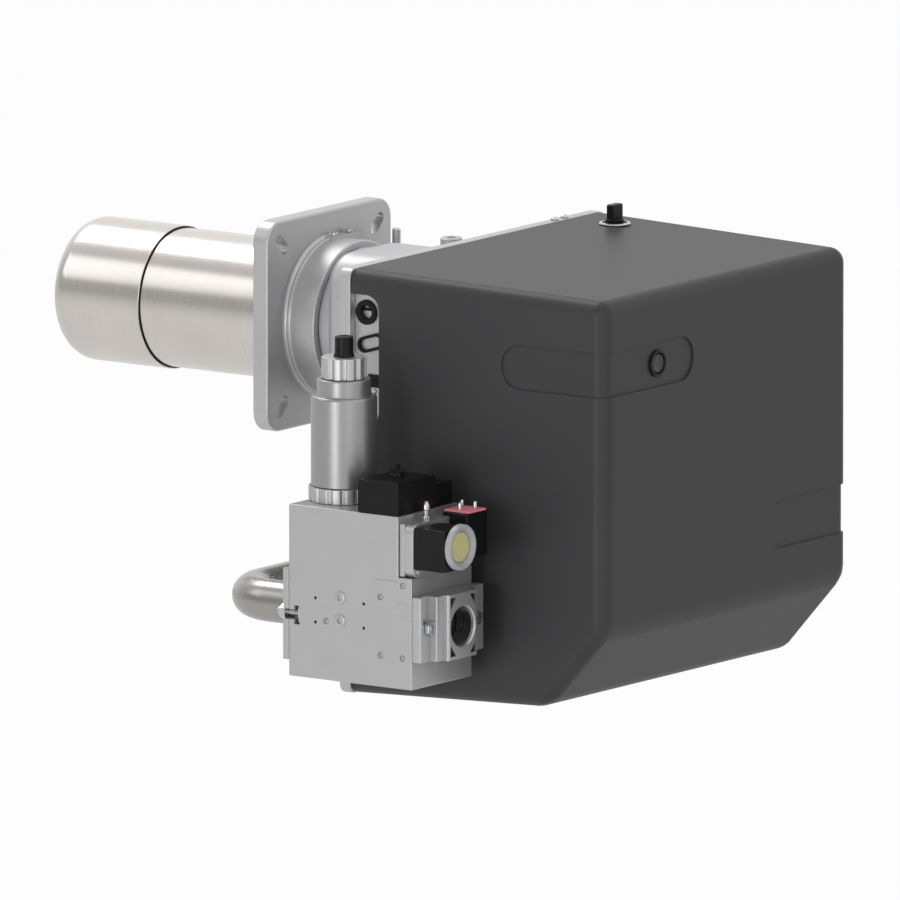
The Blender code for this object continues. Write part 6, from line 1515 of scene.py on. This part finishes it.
        # The thread and the bore's floor take a dark grey: painted shade inside the bore.
        ring = turned("inlet_thread", [*thread, (19.4, start), (19.7, start)], Axis.X, (0, y, z), 72)
        floor = peg("inlet_floor", (363.4, y, z), (363.8, y, z), 19.6)
        present(joined(ring, floor), BORE_SHADE_GREY, "burner", angle=20)
        # Black prisms on the floors of the corner pockets: painted shade in the pockets.
        present(joined(*self.corner_prisms("core_plug", 0.3, 0.8, 374.7, 383.5)), BLACK_RUBBER_AND_SHADE, "burner")

    def inlet_bolts(self) -> None:
        """The two hexagon bolts beside the bore, each with the tip of its thread."""
        y, z = self.bolts[0]
        bolt = softened(peg("flange_bolt_1", (371.6, y, z), (377.1, y, z), 8, 6), 0.8)
        profile = [(0, 377), (4.2, 377), (4, 377.6), (0, 377.6)]
        joined(bolt, turned("bolt_tip", profile, Axis.X, (0, y, z), 32))
        for number, piece in enumerate(spaced(bolt, Axis.X, self.bolts), 1):
            present(piece, ZINC_PLATE, "burner", f"inlet_bolt_{number}")

    def nipple(self) -> None:
        """The barbed pressure test nipple."""
        profile = [(0, -130.7), (4.4, -130.7), (4.4, -127.4), (3.8, -126.8), (2.6, -126.2), (2.6, -122.6),
                   (3.7, -121.2), (3.7, -117), (3.2, -115), (2.2, -113.2), (1.2, -112.8), (1.1, -115),
                   (0, -115)]
        nipple = turned("barbed_nipple", profile, Axis.Z, self.nipple_place, 32)
        present(nipple, ZINC_PLATE, "burner", "test_nipple")

    def build(self) -> None:
        """Makes the body and what is screwed to it."""
        self.body()
        self.outlet_plate()
        self.inlet()
        self.inlet_bolts()
        self.nipple()


@dataclass
class SolenoidTower:
    """Fluted ring, round coil housing, flow ring and cap, on top of the valve."""

    centre: Flat = (241.0, -286.0)

    def build(self) -> None:
        """Makes the tower from the ring up."""
        place = (*self.centre, 0)
        ring = slab("fluted_ring", lobed(self.centre, 35.5, 1.5, 16, 0.62), Axis.Z, -124.7, -110)
        present(softened(ring, 0.6, 2, 50), VALVE_ALUMINIUM, "burner", "solenoid_base")
        profile = [(0, -109.7), (32.2, -109.7), (33, -108.9), (33, -22.2), *arc((30, -22.2), 3, 0, 90, 6)[1:],
                   (27.8, -19.2), (27, -18.4), (27, -3.9), *arc((25.5, -3.9), 1.5, 0, 90, 4)[1:],
                   (6.6, -2.4), (6.4, -10.4), (0, -10.4)]
        present(turned("coil_housing", profile, Axis.Z, place), BRUSHED_SLEEVE, "burner", "solenoid_housing")
        grip_ring = slab("flow_grip", lobed(self.centre, 22.5, 2.2, 10, 0.55), Axis.Z, -2.1, 19.4)
        profile = [(0, -9.8), (6, -9.8), (6, -1), (0, -1)]
        spigot = turned("grip_spigot", profile, Axis.Z, place, 32)
        profile = [(0, 19), (5, 19), (5, 28.6), (4.4, 29.4), (0, 29.4)]
        spindle = turned("grip_spindle", profile, Axis.Z, place, 32)
        present(joined(softened(grip_ring, 0.7, 3, 50), spigot, spindle), VALVE_ALUMINIUM, "flow_setting",
                "flow_ring", angle=30.1)  # just above the 30 degrees at which the flats of its bevels meet
        profile = [(6.8, 19.7), (10.5, 19.7), (10.5, 20.6), (9.3, 23), (9.3, 38.8), (8.7, 39.5), (5.5, 39.7),
                   (5, 39), (0, 39), (0, 37.2), (6.8, 37.2)]
        present(turned("screw_cap", profile, Axis.Z, place, 48), BLACK_NYLON, "cap", "flow_cap")


@dataclass
class Connectors:
    """Coil plug, pressure switch with its window and dial, and the valve connector."""

    dial: Flat = (-317.0, -152.0)
    plug_screw: Flat = (318.8, -305.0)
    adapter_screws: tuple[Flat, ...] = ((-330.5, -138.0), (-330.5, -179.0))
    pins: tuple[Flat, ...] = ((368.5, -267.0), (360.5, -252.0), (376.5, -252.0))

    def coil_plug(self) -> None:
        """The stepped plug with its lid and winged screw."""
        x, y = self.plug_screw
        hub = [(0, -92.5), (7, -92.5), (7, -88.5), (6, -87), (0, -86.8)]
        present(joined(case("coil_plug_case", (294, -338, -124.7), (343.7, -272, -95.5), 1.2),
                       case("coil_plug_lid", (294.6, -337.4, -96.5), (343.1, -272.6, -92), 1),
                       case("coil_plug_step", (296.5, -273.5, -124.7), (341.2, -241, -102), 1.2),
                       case("coil_plug_rim", (299, -333, -92.5), (338.5, -277, -91.5), 0.4),
                       turned("plug_hub", hub, Axis.Z, (x, y, 0), 32),
                       case("plug_wing", (x - 8.5, y - 1.8, -87.5), (x + 8.5, y + 1.8, -83.5), 0.7),
                       case("plug_post", (x - 2.2, y - 2.2, -88), (x + 2.2, y + 2.2, -79.1), 0.7)),
                BLACK_NYLON, "burner", "coil_plug")

    def adapter(self) -> None:
        """The two-part adapter between valve and switch, with two corner screws."""
        back = case("adapter_base", (344.1, -336, -185), (350.2, -241, -132), 1)
        face = slab("adapter_face", rectangle((-338, -185.7), (-240, -131), 10, 8), Axis.X, 351.2, 362.3)
        waist = case("adapter_waist", (349.5, -334, -183), (352, -244, -134), 0.4)
        profile = [(0, 361.2), (3, 361.2), (3, 364.5), (2.4, 365.2), (0, 365.2)]
        head = turned("adapter_screw_1", profile, Axis.X, (0, *self.adapter_screws[0]), 24)
        screws = spaced(head, Axis.X, self.adapter_screws)
        present(joined(back, softened(face, 0.8, 2, 50), waist, *screws), VALVE_ALUMINIUM, "burner",
                "switch_adapter")

    def switch(self) -> None:
        """The switch case, the dial, and the clear window in its frosted rim."""
        y, z = self.dial
        place = (0, y, z)
        box = case("switch_case", (366, -338, -176), (400.6, -296, -134), 1.6)
        lid = case("switch_lid", (362.6, -337.4, -175.4), (366.4, -296.6, -134.6), 0.5)
        profile = [(0, 399), (20.5, 399), (20.5, 400.8), (18.5, 401.6), (15.8, 401.6), (15.5, 398.5),
                   (0, 398.5)]
        seat = turned("switch_seat", profile, Axis.X, place, 56)
        present(joined(box, lid, seat), BLACK_NYLON, "burner", "pressure_switch")
        profile = [(0, 398.8), (14.8, 398.8), (15, 399.2), (15, 404.2), (14.4, 404.8), (0, 404.8)]
        ridge = case("dial_ridge", (404.4, y - 10.5, z + 3), (405.2, y + 10.5, z + 4.2), 0.2)
        knob = joined(turned("setting_dial", profile, Axis.X, place, 64), ridge)
        present(knob, DIAL_ACETAL, "dial", "switch_dial")
        profile = [(16.3, 402), (22.6, 402), (23, 402.4), (23, 407), (22.4, 408.2), (20.6, 408.6),
                   (18.6, 407.8), (16.3, 405.8)]
        present(turned("window_rim", profile, Axis.X, place, 72), FROSTED_RIM, "burner", "switch_window")
        profile = [(0, 405.4), (16.1, 405.4), (16.1, 406), (0, 406)]
        present(turned("window_pane", profile, Axis.X, place, 64), CLEAR_PANE, "burner")

    def connector(self) -> None:
        """The valve connector with its red sealing plate and three bright pins."""
        socket = case("connector_case", (353.5, -276, -172), (383.6, -240, -127.5), 2, 4)
        present(socket, BLACK_NYLON, "burner", "valve_connector")
        plate = case("sealing_plate", (353.5, -273, -127.2), (383.5, -243, -125), 0.6)
        present(plate, RED_SILICONE, "burner", "connector_gasket")
        profile = [(0, -125.2), (2.2, -125.2), (2.2, -119), (1.6, -117.8), (0, -117.3)]
        pin = turned("contact_pin_1", profile, Axis.Z, (*self.pins[0], 0), 20)
        for piece in spaced(pin, Axis.Z, self.pins):
            present(piece, ZINC_PLATE, "burner")

    def build(self) -> None:
        """Makes the plug, the adapter, the switch and the connector."""
        self.coil_plug()
        self.adapter()
        self.switch()
        self.connector()


# ---------------------------------------------------------------- studio


def mirrored(tree: bpy.types.NodeTree, path: Any) -> Any:
    """Socket that says 1 to a ray that comes from a mirror or through a pane."""
    return add_node(tree, "Math", {0: path.outputs["Is Glossy Ray"], 1: path.outputs["Is Transmission Ray"]},
                    operation="MAXIMUM").outputs[0]


@dataclass
class Studio:
    """Camera at the photograph's angle, soft lamps, a white surround and a pale floor."""

    back: Point = (0.571, -0.803, 0.170)
    aim: Point = (0.176, -0.013, -0.120)
    distance: float = 37.5
    lens: float = 1500.0
    floor_level: float = -0.62
    ambient: float = 0.55
    dark_way: Point = (-0.45, -0.89, 0.02)
    dark_from: float = 0.9
    dark_level: float = 0.48
    floor_seen: float = 0.95
    floor_mirrored: float = 0.4

    def camera(self) -> None:
        """Sets up the camera, nearly without perspective."""
        release()
        back = Vector(self.back).normalized()
        bpy.ops.object.camera_add(location=Vector(self.aim) + back * self.distance,
                                  rotation=back.to_track_quat("Z", "Y").to_euler())
        camera = bpy.context.active_object
        camera.name = "studio_camera"
        camera.data.lens = self.lens
        camera.data.sensor_width = 36.0
        camera.data.clip_start = 0.05
        camera.data.clip_end = 400.0
        bpy.context.scene.camera = camera

    def lamp(self, name: str, place: Point, target: Point, size: float, power: float) -> None:
        """Adds one soft square lamp that looks at a target.

        Args:
            name: the lamp's name.
            place: where it stands.
            target: the point that it looks at.
            size: length of its side.
            power: its power in watts.
        """
        release()
        way = Vector(place) - Vector(target)
        bpy.ops.object.light_add(type="AREA", location=place, rotation=way.to_track_quat("Z", "Y").to_euler())
        lamp = bpy.context.active_object
        lamp.name = name
        lamp.data.shape = "SQUARE"
        lamp.data.size = size
        lamp.data.energy = power

    def surround(self) -> None:
        """A white surround to the eye and in mirrors, darker behind the camera, and a level of light."""
        world = bpy.data.worlds.new("studio_surround")
        bpy.context.scene.world = world
        tree = fresh_tree(world)
        path = add_node(tree, "LightPath")
        way = add_node(tree, "TexCoord").outputs["Generated"]
        facing = add_node(tree, "VectorMath", {0: way, 1: Vector(self.dark_way).normalized()},
                          operation="DOT_PRODUCT")
        shade = add_node(tree, "MapRange", {
            "Value": facing.outputs["Value"], "From Min": 0.0, "From Max": self.dark_from, "To Min": 1.0,
            "To Max": self.dark_level}, interpolation_type="SMOOTHSTEP")
        seen = add_node(tree, "Mix", {0: mirrored(tree, path), 2: self.ambient, 3: shade.outputs[0]})
        level = add_node(tree, "Mix", {0: path.outputs["Is Camera Ray"], 2: seen.outputs[0], 3: 1.0})
        back = add_node(tree, "Background", {"Color": (1, 1, 1, 1), "Strength": level.outputs[0]})
        add_node(tree, "OutputWorld", {"Surface": back.outputs[0]})

    def floor(self) -> None:
        """A pale floor that looks white and still takes the object's shadow."""
        release()
        bpy.ops.mesh.primitive_plane_add(size=60.0, location=(0, 0, self.floor_level))
        floor = settle("studio_floor")
        material = bpy.data.materials.new("pale_floor")
        tree = fresh_tree(material)
        path = add_node(tree, "LightPath")
        pale = add_node(tree, "BsdfDiffuse", {"Color": linear("#F4F4F4")})
        white = add_node(tree, "Emission", {"Color": (1, 1, 1, 1), "Strength": 1.0})
        share = add_node(tree, "Math", {0: path.outputs["Is Camera Ray"], 1: self.floor_seen},
                         operation="MULTIPLY")
        soft = add_node(tree, "Math", {0: mirrored(tree, path), 1: self.floor_mirrored}, operation="MULTIPLY")
        both = add_node(tree, "Math", {0: share.outputs[0], 1: soft.outputs[0]}, operation="MAXIMUM")
        mix = add_node(tree, "MixShader", {0: both.outputs[0], 1: pale.outputs[0], 2: white.outputs[0]})
        clear = add_node(tree, "BsdfTransparent")
        under = add_node(tree, "NewGeometry").outputs["Backfacing"]
        shown = add_node(tree, "MixShader", {0: under, 1: mix.outputs[0], 2: clear.outputs[0]})
        add_node(tree, "OutputMaterial", {"Surface": shown.outputs[0]})
        floor.data.materials.append(material)

    def build(self) -> None:
        """Makes the studio."""
        self.camera()
        self.surround()
        self.floor()
        self.lamp("top_lamp", (-2.0, 0.65, 2.8), (0.15, 0.0, 0.0), 1.3, 33.0)
        self.lamp("left_lamp", (-2.7, -2.2, 2.0), (0.15, 0.0, -0.1), 1.8, 12.0)
        self.lamp("front_lamp", (0.5, -3.9, -0.05), (0.15, 0.0, -0.1), 1.1, 21.0)
        self.lamp("right_lamp", (3.2, -2.4, 0.1), (0.35, 0.0, -0.1), 2.0, 9.0)
        bpy.context.scene.view_settings.view_transform = "Standard"


def clear_strays() -> None:
    """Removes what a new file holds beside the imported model."""
    for name in ("Cube", "Light", "Camera"):
        stray = bpy.data.objects.get(name)
        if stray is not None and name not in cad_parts:
            bpy.data.objects.remove(stray)


def main() -> None:
    """Builds the studio and the sub-assemblies."""
    logging.basicConfig(level=logging.INFO, format="%(name)s: %(message)s", stream=sys.stdout)
    clear_strays()
    release()
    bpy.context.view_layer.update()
    for assembly in (Studio(), BlastTube(), MountingFlange(), HingeAndScrews(), MixingHead(), NeckAndPlate(),
                     FanUnit(), Controls(), CablePanel(), Hood(), Latch(), GasPipe(), ValveBlock(),
                     SolenoidTower(), Connectors()):
        log.info("building %s", type(assembly).__name__)
        assembly.build()
    release()


if __name__ == "__main__":
    main()
